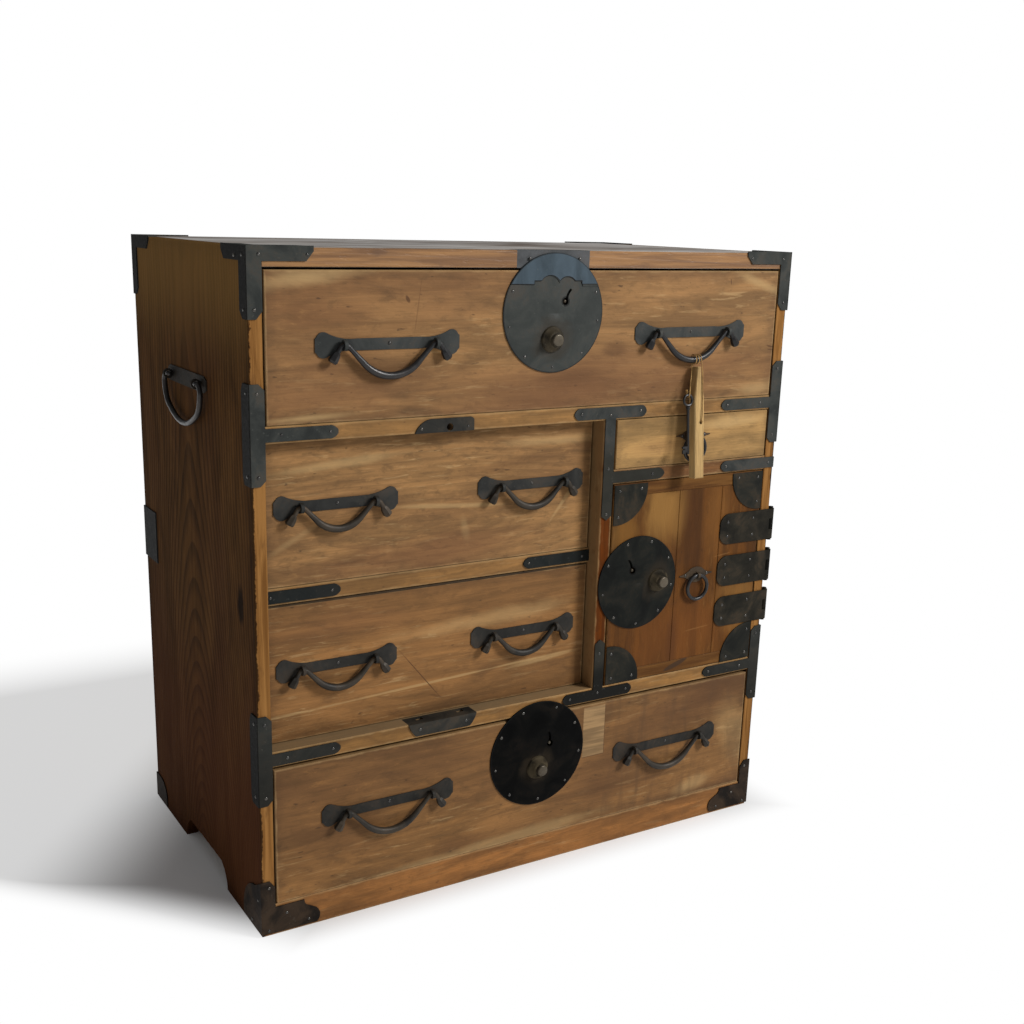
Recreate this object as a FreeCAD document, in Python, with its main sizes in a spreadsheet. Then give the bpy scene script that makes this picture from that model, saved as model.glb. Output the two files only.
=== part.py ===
# A small merchant's tansu: a softwood case with five drawers and one hinged door, dressed in iron.
# Lengths are millimetres. Every sub-part is modelled with x to the right from the middle of the
# case, y back from the plane of its front and z up from the floor, then moved back or forward as
# one so that the origin is under the middle of the whole object.
import FreeCAD, Part
import math
import os
import re
import Sketcher

Vector = FreeCAD.Vector
doc = FreeCAD.newDocument("Tansu")

# ---------------------------------------------------------------- driving dimensions
# Heights named ...Top are measured down from the top of the case.
sizes = {
    "caseWidth": 700, "caseDepth": 396, "caseHeight": 742,
    "sideThick": 15, "topThick": 19, "backThick": 8, "bottomThick": 8, "dustThick": 6,
    "railDeep": 40, "railHigh": 17.5, "baseRailHigh": 37, "edgeEase": 0.8,
    "upperRailTop": 174.5, "smallRailTop": 252, "bayRailTop": 349.5, "bayRailHigh": 18.5,
    "lowerRailTop": 524.5, "bayRecess": 20, "dividerLeft": 80, "dividerThick": 17,
    "footFront": 116, "footBack": 125, "archHigh": 29,
    "frontThick": 18, "boxSide": 9, "boxBottom": 6, "boxLower": 8, "sideGap": 2, "underGap": 0.6,
    "backGap": 8, "proud": 0.4,
    "topDrawerGap": 2.5, "bottomDrawerGap": 3.8, "drawerGap": 1,
    "ironThick": 1.5, "skinThick": 1.2, "strapHigh": 13.5, "strapLong": 94,
    "cornerLong": 69, "cornerWide": 13.5, "cornerSide": 18, "edgeIronHalf": 51.5, "edgeWrap": 20,
    "footIronLong": 64, "footIronHigh": 31, "footIronLeg": 64, "footIronLift": 3, "footIronSide": 56,
    "backFootIron": 45, "midStrapLong": 50, "midStrapHigh": 65, "midStrapTop": 335,
    "strikeLeft": -46, "strikeWide": 95, "strikeDeep": 22,
    "keeperWide": 72, "keeperMiddle": -131.5, "keeperHole": 4,
    "lowKeeperWide": 88, "lowKeeperMiddle": -128,
    "plateHalf": 82.5, "smallPlateHalf": 71.5, "eyeHalf": 52.5, "smallEyeHalf": 43,
    "bailDrop": 33, "smallBailDrop": 27, "bailRod": 4.1, "bailEnd": 2.7,
    "eyeOuter": 5.5, "eyeInner": 3.6, "eyeWide": 3.6, "eyeStand": 5.6, "shank": 1.6,
    "sidePlateHalf": 68, "sidePlateHigh": 18, "sideEyeHalf": 50, "sideBailHalf": 68, "sideBailDrop": 56,
    "sideHandleTop": 149, "sideRod": 3.3, "sideRodEnd": 2.7,
    "ringOut": 18, "ringRod": 2.2, "ringEyeOuter": 3.9, "ringEyeInner": 2.7, "ringStand": 4,
    "ringPlateHalf": 26, "ringPlateHigh": 16,
    "topLock": 65.5, "bottomLock": 66.5, "doorLock": 58.7, "lockRim": 1.4, "lockDome": 3.6,
    "crescentThick": 0.8, "buttonRadius": 6.8, "buttonClear": 0.08, "knobReach": 17.5,
    "bossReach": 12, "bossRadius": 14.5, "buttonInside": 6, "keyholeDeep": 8,
    "lockCaseWide": 66, "lockCaseHigh": 46, "lockCaseDeep": 12,
    "doorBatten": 15.5, "doorThick": 18, "doorIron": 49,
    "hingeHigh": 40, "hingeStart": 268, "barrel": 4.5, "pin": 2.2, "pinClear": 0.08, "pinHead": 3.3,
    "leafLong": 38, "knuckleGap": 0.4,
    "hangX": 206, "hangRise": 1.25, "tagShift": 0.5, "tagWide": 14, "tagDeep": 11, "tagTop": 9,
    "tagBottom": 143, "tagTaper": 36, "tagTilt": 5.5, "tagHole": 75.4,
    "keyShift": -14.8, "keyLong": 80, "twine": 0.6,
}
sheet = doc.addObject("Spreadsheet::Sheet", "Sizes")
for row, (word, number) in enumerate(sizes.items(), start=1):
    sheet.set(f"A{row}", word)
    sheet.set(f"B{row}", str(number))
    sheet.setAlias(f"B{row}", word)
doc.recompute()


def bind(text):
    """Turns plain words for sizes into references to the sheet."""
    return re.sub(r"[A-Za-z]+", lambda m: f"Sizes.{m[0]}" if m[0] in sizes else m[0], str(text))


def value(text):
    return float(sheet.evalExpression(bind(text)))


# The tag reaches furthest forward; caseFront is y of the front plane in the finished frame.
frontReach = ("(proud + eyeStand + skinThick + (tagBottom - edgeEase) * sin(tagTilt)"
              " + tagDeep / 2 * cos(tagTilt))")
caseFront = f"-(caseDepth + ironThick - {frontReach}) / 2"
subparts = {}


def finish(label, item):
    """Names a sub-part and moves it from the front plane to the finished frame."""
    item.Label = label
    item.setExpression("Placement.Base.y", bind(caseFront))
    subparts[label] = item
    return item


def group(label, items):
    """Several separate solids that make one sub-part."""
    compound = doc.addObject("Part::Compound", label)
    compound.Links = items
    return finish(label, compound)


# ---------------------------------------------------------------- ways of making a piece
def box(name, x, y, z):
    """A plain board between two corners, each given as a pair of expressions."""
    item = doc.addObject("Part::Box", name)
    for side, axis, (low, high) in (("Length", "x", x), ("Width", "y", y), ("Height", "z", z)):
        item.setExpression(side, bind(f"({high}) - ({low})"))
        item.setExpression(f"Placement.Base.{axis}", bind(low))
    return item


def rod(name, radius, length, at, direction):
    """A cylinder from a point, along one of the three axes."""
    item = doc.addObject("Part::Cylinder", name)
    item.setExpression("Radius", bind(radius))
    item.setExpression("Height", bind(length))
    item.Placement.Rotation = FreeCAD.Rotation(Vector(0, 0, 1), Vector(*direction))
    for axis, text in zip("xyz", at):
        item.setExpression(f"Placement.Base.{axis}", bind(text))
    return item


def joined(name, items):
    item = doc.addObject("Part::MultiFuse", name)
    item.Shapes = items
    return item


def cut(name, base, tools):
    item = doc.addObject("Part::Cut", name)
    item.Base = base
    item.Tool = tools[0] if len(tools) == 1 else joined(f"{name}_tools", tools)
    return item


def mirrored(name, source, normal, middle="0"):
    """A copy on the other side of a plane across x or y."""
    item = doc.addObject("Part::Mirroring", name)
    item.Source = source
    item.Normal = Vector(*normal)
    axis = "x" if normal[0] else "y"
    item.setExpression(f"Base.{axis}", bind(middle))
    return item


def sketch(body, plane, loops, offset="0"):
    """A sketch on one of the body's own planes. A loop is a list of corners (x, y) joined by
    straight lines; a corner (x, y, radius) is reached by an arc, which bulges to the left of the
    way there when the radius is positive. A loop ("circle", x, y, radius) is a circle."""
    item = body.newObject("Sketcher::SketchObject", f"{body.Name}_outline")
    item.AttachmentSupport = ([f for f in body.Origin.OriginFeatures if f.Role == plane][0], "")
    item.MapMode = "FlatFace"
    item.setExpression("AttachmentOffset.Base.z", bind(offset))
    rule = Sketcher.Constraint
    for loop in loops:
        first = item.GeometryCount
        drives = []
        if loop[0] == "circle":
            x, y, radius = (value(text) for text in loop[1:])
            item.addGeometry(Part.Circle(Vector(x, y, 0), Vector(0, 0, 1), radius))
            drives = [(rule("DistanceX", first, 3, x), loop[1]),
                      (rule("DistanceY", first, 3, y), loop[2]),
                      (rule("Radius", first, radius), loop[3])]
        else:
            corners = [Vector(value(c[0]), value(c[1]), 0) for c in loop]
            starts, shapes, joins = [], [], []
            for i, corner in enumerate(loop):
                start, end = corners[i - 1], corners[i]
                if len(corner) == 2:
                    shapes.append(Part.LineSegment(start, end))
                    starts.append((1, 2))
                    continue
                radius = value(corner[2])
                span = end - start
                left = Vector(-span.y, span.x, 0).normalize()
                reach = math.sqrt(radius ** 2 - (span.Length / 2) ** 2)
                side = -1 if radius > 0 else 1
                centre = (start + end) * 0.5 + left * reach * side
                turn = [math.atan2((p - centre).y, (p - centre).x) for p in (start, end)]
                circle = Part.Circle(centre, Vector(0, 0, 1), abs(radius))
                clockwise = radius > 0
                if clockwise:
                    turn.reverse()
                shapes.append(Part.ArcOfCircle(circle, turn[0], turn[1]))
                starts.append((2, 1) if clockwise else (1, 2))
                drives.append((rule("Radius", first + i, abs(radius)), f"abs({corner[2]})"))
            item.addGeometry(shapes)
            for i, corner in enumerate(loop):
                here, following = first + i, first + (i + 1) % len(loop)
                joins.append(rule("Coincident", here, starts[i][1],
                                  following, starts[(i + 1) % len(loop)][0]))
                drives.append((rule("DistanceX", here, starts[i][1], corners[i].x), corner[0]))
                drives.append((rule("DistanceY", here, starts[i][1], corners[i].y), corner[1]))
            item.addConstraint(joins)
        numbers = item.addConstraint([drive[0] for drive in drives])
        for number, drive in zip(numbers, drives):
            item.setExpression(f"Constraints[{number}]", bind(drive[1]))
    return item


def padded(body, plane, loops, length, offset="0", back=False):
    item = body.newObject("PartDesign::Pad", f"{body.Name}_pad")
    item.Profile = sketch(body, plane, loops, offset)
    item.setExpression("Length", bind(length))
    item.Reversed = back
    return item


def pocketed(body, plane, loops, length, offset="0"):
    """Cuts loops out of the body, away from the side its plane looks to."""
    doc.recompute()
    before = body.Shape.Volume
    item = body.newObject("PartDesign::Pocket", f"{body.Name}_pocket")
    item.Profile = sketch(body, plane, loops, offset)
    item.setExpression("Length", bind(length))
    doc.recompute()
    if body.Shape.Volume > before - 0.01:
        raise ValueError(f"{body.Name}: the pocket cut nothing")
    return item


def eased(body, direction, amount="edgeEase"):
    """A small chamfer round the face of the body that looks one way."""
    doc.recompute()
    tip = body.Tip
    reach = Vector(*direction)
    faces = [(face.CenterOfMass.dot(reach), index) for index, face in enumerate(tip.Shape.Faces, 1)
             if abs(face.normalAt(0, 0).dot(reach)) > 0.99]
    item = body.newObject("PartDesign::Chamfer", f"{body.Name}_ease")
    item.Base = (tip, [f"Face{max(faces)[1]}"])
    item.setExpression("Size", bind(amount))
    return item


def newBody(name):
    return doc.addObject("PartDesign::Body", name)


def rectangle(x, z):
    return [(x[0], z[0]), (x[1], z[0]), (x[1], z[1]), (x[0], z[1])]


def plate(name, loops, thick="ironThick", front="0"):
    """A flat piece of iron on a face that looks forward, which stands at y = front."""
    body = newBody(name)
    padded(body, "XZ_Plane", loops, thick, f"-({front})")
    return body


def shaped(name, shape):
    item = doc.addObject("Part::Feature", name)
    item.Shape = shape
    return item


# ---------------------------------------------------------------- lines that many pieces share
left, right = "-caseWidth / 2", "caseWidth / 2"
innerLeft, innerRight = f"{left} + sideThick", f"{right} - sideThick"
dividerRight = "dividerLeft + dividerThick"
backFace = "caseDepth - backThick"


def up(drop):
    """Height above the floor of a line given by its distance below the top."""
    return f"caseHeight - ({drop})"


upperRail = (up("upperRailTop + railHigh"), up("upperRailTop"))
smallRail = (up("smallRailTop + railHigh"), up("smallRailTop"))
bayRail = (up("bayRailTop + bayRailHigh"), up("bayRailTop"))
lowerRail = (up("lowerRailTop + railHigh"), up("lowerRailTop"))


def middleOf(pair):
    return f"(({pair[0]}) + ({pair[1]})) / 2"


# ---------------------------------------------------------------- the wooden case
def sideBoard(name, outer, way):
    """A side board that stands on the floor on two feet, with an arch cut between them. outer is
    the x of its lower face and way tells which side it's on, -1 for left."""
    low, high = ("footFront", "caseDepth - footBack")
    body = newBody(name)
    padded(body, "YZ_Plane", [[
        ("0", "0"), (low, "0"), (f"{low} + archHigh * 0.7", "archHigh", "archHigh * 1.1"),
        (f"{high} - archHigh * 0.7", "archHigh"), (high, "0", "archHigh * 1.1"),
        ("caseDepth", "0"), ("caseDepth", "caseHeight"), ("0", "caseHeight")]],
        "sideThick", f"{outer}")
    eased(body, (0, -1, 0))
    deep = "(sideThick - 2)"
    shanks = [("circle", f"caseDepth / 2 + {end} * sideEyeHalf", up("sideHandleTop"), "shank")
              for end in (-1, 1)]
    pocketed(body, "YZ_Plane", shanks, deep, f"{left} + {deep}" if way < 0 else right)
    return finish(name, body)


sideBoard("left_side", left, -1)
sideBoard("right_side", innerRight, 1)


def frontBoard(name, x, y, z):
    """A board whose front face is seen, with its arrises eased."""
    body = newBody(name)
    padded(body, "XZ_Plane", [rectangle(x, z)], f"({y[1]}) - ({y[0]})", f"-({y[0]})", back=True)
    eased(body, (0, -1, 0))
    return body


strikeRight = "strikeLeft + strikeWide"
topBoard = frontBoard("top_board", (innerLeft, innerRight), ("0", "caseDepth"),
                      (up("topThick"), "caseHeight"))
pocketed(topBoard, "XZ_Plane", [rectangle(("strikeLeft", strikeRight), (up("topThick"), "caseHeight"))],
         "ironThick")
pocketed(topBoard, "XY_Plane", [rectangle(("strikeLeft", strikeRight), ("0", "strikeDeep"))],
         "ironThick", "caseHeight")
finish("top_board", topBoard)

finish("base_rail", frontBoard("base_rail", (innerLeft, innerRight), ("0", "railDeep / 2"),
                               ("0", "baseRailHigh")))
group("bottom_board", [box("bottom_board_panel", (innerLeft, innerRight), ("railDeep / 2", backFace),
                           ("baseRailHigh - bottomThick", "baseRailHigh"))])

backBoards = 3
group("back_boards", [
    box(f"back_board_{i}", (f"{innerLeft} + (caseWidth - 2 * sideThick) * {i} / {backBoards}",
                            f"{innerLeft} + (caseWidth - 2 * sideThick) * {i + 1} / {backBoards}"),
        (backFace, "caseDepth"), ("baseRailHigh - bottomThick", up("topThick")))
    for i in range(backBoards)])

keeperAt = ("keeperMiddle + 6", up("upperRailTop + railHigh / 2 + 3.5"))   # middle of the bolt hole
upper = frontBoard("upper_rail", (innerLeft, innerRight), ("0", "railDeep"), upperRail)
pocketed(upper, "XZ_Plane", [("circle", *keeperAt, "keeperHole")], "railDeep / 2")
finish("upper_rail", upper)

slotAcross, slotDeep = "9", "6"      # each bolt slot in the top of the lower rail
slotMiddles = ("lowKeeperMiddle - 25", "lowKeeperMiddle + 28")
slots = [rectangle((f"{x} - {slotAcross} / 2", f"{x} + {slotAcross} / 2"), ("9", f"9 + {slotDeep}"))
         for x in slotMiddles]
lowKeeperX = ("lowKeeperMiddle - lowKeeperWide / 2", "lowKeeperMiddle + lowKeeperWide / 2")
lower = frontBoard("lower_rail", (innerLeft, innerRight), ("0", "railDeep"), lowerRail)
pocketed(lower, "XY_Plane", [rectangle(lowKeeperX, ("0", "bayRecess - 1.5"))], "ironThick", lowerRail[1])
pocketed(lower, "XY_Plane", slots, "railHigh / 2", lowerRail[1])
finish("lower_rail", lower)

finish("left_bay_rail", frontBoard("left_bay_rail", (innerLeft, "dividerLeft"),
                                   ("bayRecess", "bayRecess + railDeep"), bayRail))
finish("right_bay_rail", frontBoard("right_bay_rail", (dividerRight, innerRight),
                                    ("0", "railDeep"), smallRail))
finish("divider", frontBoard("divider", ("dividerLeft", dividerRight), ("0", backFace),
                             (lowerRail[1], upperRail[0])))

group("dust_boards", [
    box(f"dust_board_{i}", x, (f"railDeep + {setBack}", backFace), (f"{top} - dustThick", top))
    for i, (x, setBack, top) in enumerate((
        ((innerLeft, innerRight), "0", upperRail[1]),
        ((innerLeft, innerRight), "0", lowerRail[1]),
        ((innerLeft, "dividerLeft"), "bayRecess", bayRail[1]),
        ((dividerRight, innerRight), "0", smallRail[1])))])


# ---------------------------------------------------------------- irons on the case
def ell(a, b, wide, tall, long, notch):
    """Corners of an L from its outer corner (a, b) towards +a and -b, each end cut to a point."""
    return [(a, b), (f"{a} + {long}", b), (f"{a} + {long}", f"{b} - {tall} * 0.35"),
            (f"{a} + {long} - {notch}", f"{b} - {tall}"), (f"{a} + {wide}", f"{b} - {tall}"),
            (f"{a} + {wide}", f"{b} - {long} + {notch}"),
            (f"{a} + {wide} * 0.6", f"{b} - {long}"), (a, f"{b} - {long}")]


cornerX, cornerZ = f"{left} - ironThick", "caseHeight + ironThick"
corner = newBody("corner_iron")
padded(corner, "XZ_Plane", [ell(cornerX, cornerZ, "(cornerWide + ironThick + 1.5)",
                                "(cornerWide + ironThick)", "(cornerLong + ironThick)", "8")], "ironThick")
padded(corner, "YZ_Plane", [ell("-ironThick", cornerZ, "(cornerSide + ironThick)",
                                "(cornerWide + ironThick)", "(cornerLong + ironThick)", "8")],
       "ironThick", cornerX)
padded(corner, "XY_Plane", [[
    (cornerX, "-ironThick"), (f"{cornerX} + cornerLong - 6", "-ironThick"),
    (f"{cornerX} + cornerLong - 14", "cornerWide"), (f"{cornerX} + cornerWide + ironThick", "cornerWide"),
    (f"{cornerX} + cornerWide + ironThick", "cornerLong - 14"), (cornerX, "cornerLong - 6")]],
    "ironThick", "caseHeight")

footLow, footTop = "footIronLift", "footIronLift + footIronHigh"
frontFoot = newBody("front_foot_iron")
padded(frontFoot, "XZ_Plane", [[
    (cornerX, footLow), (f"{left} + footIronLong", footLow),
    (f"{left} + footIronLong", f"{footTop} - 14", "-12"), (f"{left} + footIronLong - 8", f"{footTop} - 9"),
    (f"{left} + footIronLong - 15", footTop, "9"), (f"{left} + sideThick", footTop),
    (f"{left} + sideThick", "footIronLeg - 5"), (f"{left} + sideThick * 0.6", "footIronLeg + footIronLift"),
    (cornerX, "footIronLeg + footIronLift")]], "ironThick")
padded(frontFoot, "YZ_Plane", [[
    ("-ironThick", footLow), ("footIronSide", footLow), ("footIronSide", f"{footLow} + 12"),
    ("cornerSide", "footIronLeg - 8", "-44"), ("-ironThick", "footIronLeg + footIronLift")]],
    "ironThick", cornerX)
backFoot = newBody("back_foot_iron")
backOuter = "caseDepth + ironThick"
padded(backFoot, "YZ_Plane", [[
    (backOuter, footLow), (backOuter, "backFootIron * 0.8"), (f"{backOuter} - backFootIron * 0.5",
                                                             "backFootIron * 0.8"),
    (f"{backOuter} - backFootIron", "backFootIron * 0.4", "-26"), (f"{backOuter} - backFootIron", footLow)]],
    "ironThick", cornerX)
padded(backFoot, "XZ_Plane", [rectangle((cornerX, f"{left} + backFootIron"),
                                        (footLow, "backFootIron * 0.8"))], "ironThick", f"-({backOuter})")
cornerPieces = []
for item in (corner, frontFoot, backFoot):
    cornerPieces += [item, mirrored(f"{item.Name}_right", item, (1, 0, 0))]
cornerPieces.append(mirrored("corner_iron_back", corner, (0, 1, 0), "caseDepth / 2"))
cornerPieces.append(mirrored("corner_iron_back_right", cornerPieces[1], (0, 1, 0), "caseDepth / 2"))
group("corner_irons", cornerPieces)


def strapEnd(x, z, half, way):
    """Corners of a strap's ogee end, from its lower to its upper edge; way is its direction in x."""
    return [(f"{x} - 7 * {way}", f"{z} - {half}"), (x, f"{z} - {half} * 0.25", f"{-way} * 11"),
            (x, f"{z} + {half} * 0.25"), (f"{x} - 7 * {way}", f"{z} + {half}", f"{-way} * 11")]


def edgeIron(name, rail):
    """A T over the left end of a rail: a bar up the side board's edge and a strap along the rail."""
    middle = middleOf(rail)
    half = "strapHigh / 2"
    body = newBody(name)
    edge = f"{left} + sideThick"
    padded(body, "XZ_Plane", [[
        (cornerX, f"{middle} - edgeIronHalf"), (f"{edge} - 6", f"{middle} - edgeIronHalf"),
        (edge, f"{middle} - edgeIronHalf + 6"), (edge, f"{middle} - {half}"),
        *strapEnd(f"{left} + strapLong", middle, half, 1),
        (edge, f"{middle} + {half}"), (edge, f"{middle} + edgeIronHalf - 6"),
        (f"{edge} - 6", f"{middle} + edgeIronHalf"), (cornerX, f"{middle} + edgeIronHalf")]], "ironThick")
    padded(body, "YZ_Plane", [[
        ("-ironThick", f"{middle} - edgeIronHalf"), ("edgeWrap - 4", f"{middle} - edgeIronHalf"),
        ("edgeWrap", f"{middle} - edgeIronHalf + 8"), ("edgeWrap", f"{middle} + edgeIronHalf - 8"),
        ("edgeWrap - 4", f"{middle} + edgeIronHalf"), ("-ironThick", f"{middle} + edgeIronHalf")]],
        "ironThick", cornerX)
    return body


edgePieces = []
for name, rail in (("upper_edge_iron", upperRail), ("lower_edge_iron", lowerRail)):
    item = edgeIron(name, rail)
    edgePieces += [item, mirrored(f"{name}_right", item, (1, 0, 0))]
midStrap = newBody("mid_strap")
midZ = (up("midStrapTop + midStrapHigh"), up("midStrapTop"))
padded(midStrap, "YZ_Plane", [rectangle((f"caseDepth - midStrapLong", backOuter), midZ)],
       "ironThick", cornerX)
padded(midStrap, "XZ_Plane", [rectangle((cornerX, f"{left} + edgeWrap"), midZ)],
       "ironThick", f"-({backOuter})")
edgePieces += [midStrap, mirrored("mid_strap_right", midStrap, (1, 0, 0))]
group("edge_irons", edgePieces)


def dividerIron(name, rail, stemEnd, way, branch):
    """An iron T over the divider: a bar along the rail and a stem on the post, which stands up (way 1)
    or hangs down (way -1); with branch, an arm reaches from the stem along the small rail."""
    middle, half, stem = middleOf(rail), "strapHigh / 2", "7"
    arm = f"(({middle}) - {middleOf(smallRail)})"
    corners = [(f"-45.5", f"-{half}", "-9"), ("45.5", f"-{half}"), ("51.5", "0", "-9"),
               ("45.5", half, "-9"), (stem, half)]
    if branch:
        corners += [(stem, f"{arm} - {half}"), ("76", f"{arm} - {half}"), ("84", arm, "-12"),
                    ("76", f"{arm} + {half}", "-12"), (stem, f"{arm} + {half}")]
    corners += [(stem, f"{stemEnd} - 5"), ("0", stemEnd), (f"-{stem}", f"{stemEnd} - 5"),
                (f"-{stem}", half), ("-45.5", half), ("-51.5", "0", "-9")]
    return plate(name, [[(f"dividerLeft + dividerThick / 2 + ({x})", f"{middle} + ({z}) * {way}",
                          *(f"({arc}) * {way}" for arc in arcs)) for x, z, *arcs in corners]])


def strap(name, x, rail, ends, front="0"):
    """A flat strap along a rail; ends tells which of its two ends is shaped."""
    middle, half = middleOf(rail), "strapHigh / 2"
    square = [(x[1], f"{middle} - {half}"), (x[1], f"{middle} + {half}")]
    loop = strapEnd(x[1], middle, half, 1) if ends[1] else square
    if ends[0]:
        loop += [(f"{x[0]} + 7", f"{middle} + {half}"), (x[0], f"{middle} + {half} * 0.25", "-11"),
                 (x[0], f"{middle} - {half} * 0.25"), (f"{x[0]} + 7", f"{middle} - {half}", "-11")]
    else:
        loop += [(x[0], f"{middle} + {half}"), (x[0], f"{middle} - {half}")]
    return plate(name, [loop], front=front)


group("rail_irons", [
    dividerIron("upper_divider_iron", upperRail, "129", -1, True),
    dividerIron("lower_divider_iron", lowerRail, "71", 1, False),
    strap("bay_strap_left", (innerLeft, f"{left} + 104"), bayRail, (False, True), "bayRecess"),
    strap("bay_strap_right", ("dividerLeft - 93", "dividerLeft"), bayRail, (True, False), "bayRecess"),
    strap("small_rail_strap", (f"{right} - 88", f"{right} - 0.5"), smallRail, (True, False))])

group("strike_plate", [joined("strike_plate_bend", [
    box("strike_front", ("strikeLeft", strikeRight), ("0", "ironThick"), (up("topThick"), "caseHeight")),
    box("strike_top", ("strikeLeft", strikeRight), ("0", "strikeDeep"),
        ("caseHeight - ironThick", "caseHeight"))])])

keeperLow = upperRail[0]
upKeeper = plate("upper_keeper", [[
    ("keeperMiddle - keeperWide / 2", keeperLow, "-22"), ("keeperMiddle + keeperWide / 2", keeperLow),
    ("keeperMiddle + keeperWide / 2", f"{keeperLow} + 12"),
    ("keeperMiddle + keeperWide / 2 - 4", f"{keeperLow} + 15", "-5"),
    ("keeperMiddle - keeperWide / 2 + 20", f"{keeperLow} + 15")], ("circle", *keeperAt, "keeperHole")])
lowTop = lowerRail[1]
lowKeeperFront = plate("low_keeper_front", [[
    (lowKeeperX[0], lowTop), (f"{lowKeeperX[0]} + 9", f"{lowTop} - 15", "-30"),
    (f"{lowKeeperX[1]} - 9", f"{lowTop} - 15"), (lowKeeperX[1], lowTop, "-30")]])
lowKeeperTop = newBody("low_keeper_top")
padded(lowKeeperTop, "XY_Plane", [rectangle(lowKeeperX, ("0", "bayRecess - 1.5"))] + slots,
       "ironThick", f"{lowTop} - ironThick")
group("bar_keepers", [upKeeper, joined("low_keeper", [lowKeeperFront, lowKeeperTop])])


# ---------------------------------------------------------------- forged bails and their mounts
def polygonSection(centre, direction, radius, binormal, count=8):
    """One cross section of a forged rod, as a flat-sided ring square to the rod's own line."""
    along = Vector(direction).normalize()
    across = Vector(binormal)
    other = along.cross(across)
    ring = [centre + across * (radius * math.cos(2 * math.pi * (i + 0.5) / count))
            + other * (radius * math.sin(2 * math.pi * (i + 0.5) / count)) for i in range(count)]
    return Part.makePolygon(ring + ring[:1])


def roundedLine(corners, radii, step=0.32):
    """Points and directions along a line in the x-z plane whose corners are turned by arcs."""
    stations = [(corners[0], corners[1] - corners[0])]
    for before, here, after, radius in zip(corners, corners[1:], corners[2:], radii):
        into, out = (here - before).normalize(), (after - here).normalize()
        turn = into.getAngle(out)
        back = radius * math.tan(turn / 2)
        start = here - into * back
        side = 1 if into.cross(out).y < 0 else -1
        inward = Vector(-into.z * side, 0, into.x * side)
        centre = start + inward * radius
        parts = max(2, math.ceil(turn / step))
        for i in range(parts + 1):
            angle = turn * i / parts
            along = into * math.cos(angle) + inward * math.sin(angle)
            stations.append((centre - inward * (radius * math.cos(angle))
                             + into * (radius * math.sin(angle)), along))
    stations.append((corners[-1], corners[-1] - corners[-2]))
    return stations


def forged(stations, radiusAt):
    """A solid rod along stations in the x-z plane, its radius a function of the place along it."""
    return Part.makeLoft([polygonSection(point, along, radiusAt(point), (0, 1, 0))
                          for point, along in stations], True, True)


def sproutBail(eyeHalf, drop):
    """A bracken-sprout bail: a drooping rod that thins towards its ends, rises through the two eyes
    and curls over into blunt faceted tips. Its hinge line is y = z = 0 through both eyes."""
    end, middle = value("bailEnd"), value("bailRod")
    half = [Vector(-eyeHalf - 11.4, 0, -12.5), Vector(-eyeHalf - 0.9, 0, 4)]
    bend = 1.3 * drop
    lowest = Vector(0, 0, 1.2 - drop - 0.452 * bend)
    corners = half + [lowest] + [Vector(-p.x, 0, p.z) for p in reversed(half)]
    stations = roundedLine(corners, (6.5, bend, 6.5))
    rise = max(point.z for point, _ in stations)

    def radiusAt(point):
        return end + (middle - end) * min(1, max(0, 1 - (abs(point.x) - eyeHalf * 0.3) / (eyeHalf * 0.6)))
    pieces = [forged([(point - Vector(0, 0, rise), along) for point, along in stations], radiusAt)]
    for way in (-1, 1):
        tip, peak = (Vector(-way * p.x, 0, p.z - rise) for p in half[:2])
        along = (tip - peak).normalize()
        rings = [polygonSection(tip + along * far, along, wide, (0, 1, 0), 6)
                 for far, wide in ((-6.5, 3.1), (-3.5, 4.4), (3.5, 5), (5.5, 3.6))]
        pieces.append(Part.makeLoft(rings, True, True))
    return pieces[0].fuse(pieces[1:])


def carryBail():
    """A wide drop handle whose ends turn inwards through their eyes. Same hinge line as above."""
    eye, half, drop = value("sideEyeHalf"), value("sideBailHalf"), value("sideBailDrop")
    thin, thick = value("sideRodEnd"), value("sideRod")
    side = [Vector(-eye + 7, 0, 0), Vector(-half, 0, 0), Vector(-half + 6, 0, -drop * 0.62),
            Vector(-half + 36, 0, -drop)]
    corners = side + [Vector(-p.x, 0, p.z) for p in reversed(side)]
    stations = roundedLine(corners, (9, 22, 26, 26, 22, 9))

    def radiusAt(point):
        return thin + (thick - thin) * min(1, abs(point.z) / 12)
    return forged(stations, radiusAt)


def staple(name, at, outer, inner, wide, stand, depth, face):
    """A folded-strip eye for a rod that lies along x, with its shank driven in from a front face."""
    x, z = at
    middle = f"({face}) - ({stand}) - skinThick"
    ring = rod(f"{name}_ring", outer, wide, (f"{x} - {wide} / 2", middle, z), (1, 0, 0))
    shank = rod(f"{name}_shank", "shank", f"({stand}) + skinThick + {depth} - {inner} - 0.4",
                (x, f"{middle} + {inner} + 0.4", z), (0, 1, 0))
    hole = rod(f"{name}_hole", inner, f"{wide} + 2", (f"{x} - {wide} / 2 - 1", middle, z), (1, 0, 0))
    return cut(name, joined(f"{name}_whole", [ring, shank]), [hole])


def otherWay(run):
    """The same corners walked backwards; an arc belongs to the corner it ends at."""
    arcs = [corner[2:] for corner in run[1:]]
    return [(*corner[:2], *arc) for corner, arc in zip(reversed(run), [()] + arcs[::-1])]


def handleLoop(x, z, half):
    """The outline of a bail's plate: a narrow waist that flares at each end into two lobes and a
    blunt tip between them."""
    run = [("36", "6"), (f"{half} - 14", "11.5", "60"), (f"{half} - 8", "13", "-8"),
           (f"{half} - 2.5", "9.5", "-7"), (half, "7", "5")]
    back = otherWay(run)
    return [(f"{x} + ({a}) * {sideways}", f"{z} + ({b}) * {height}", *arc)
            for sideways, height, corners in ((-1, 1, run), (-1, -1, back), (1, -1, run), (1, 1, back))
            for a, b, *arc in corners]


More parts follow.
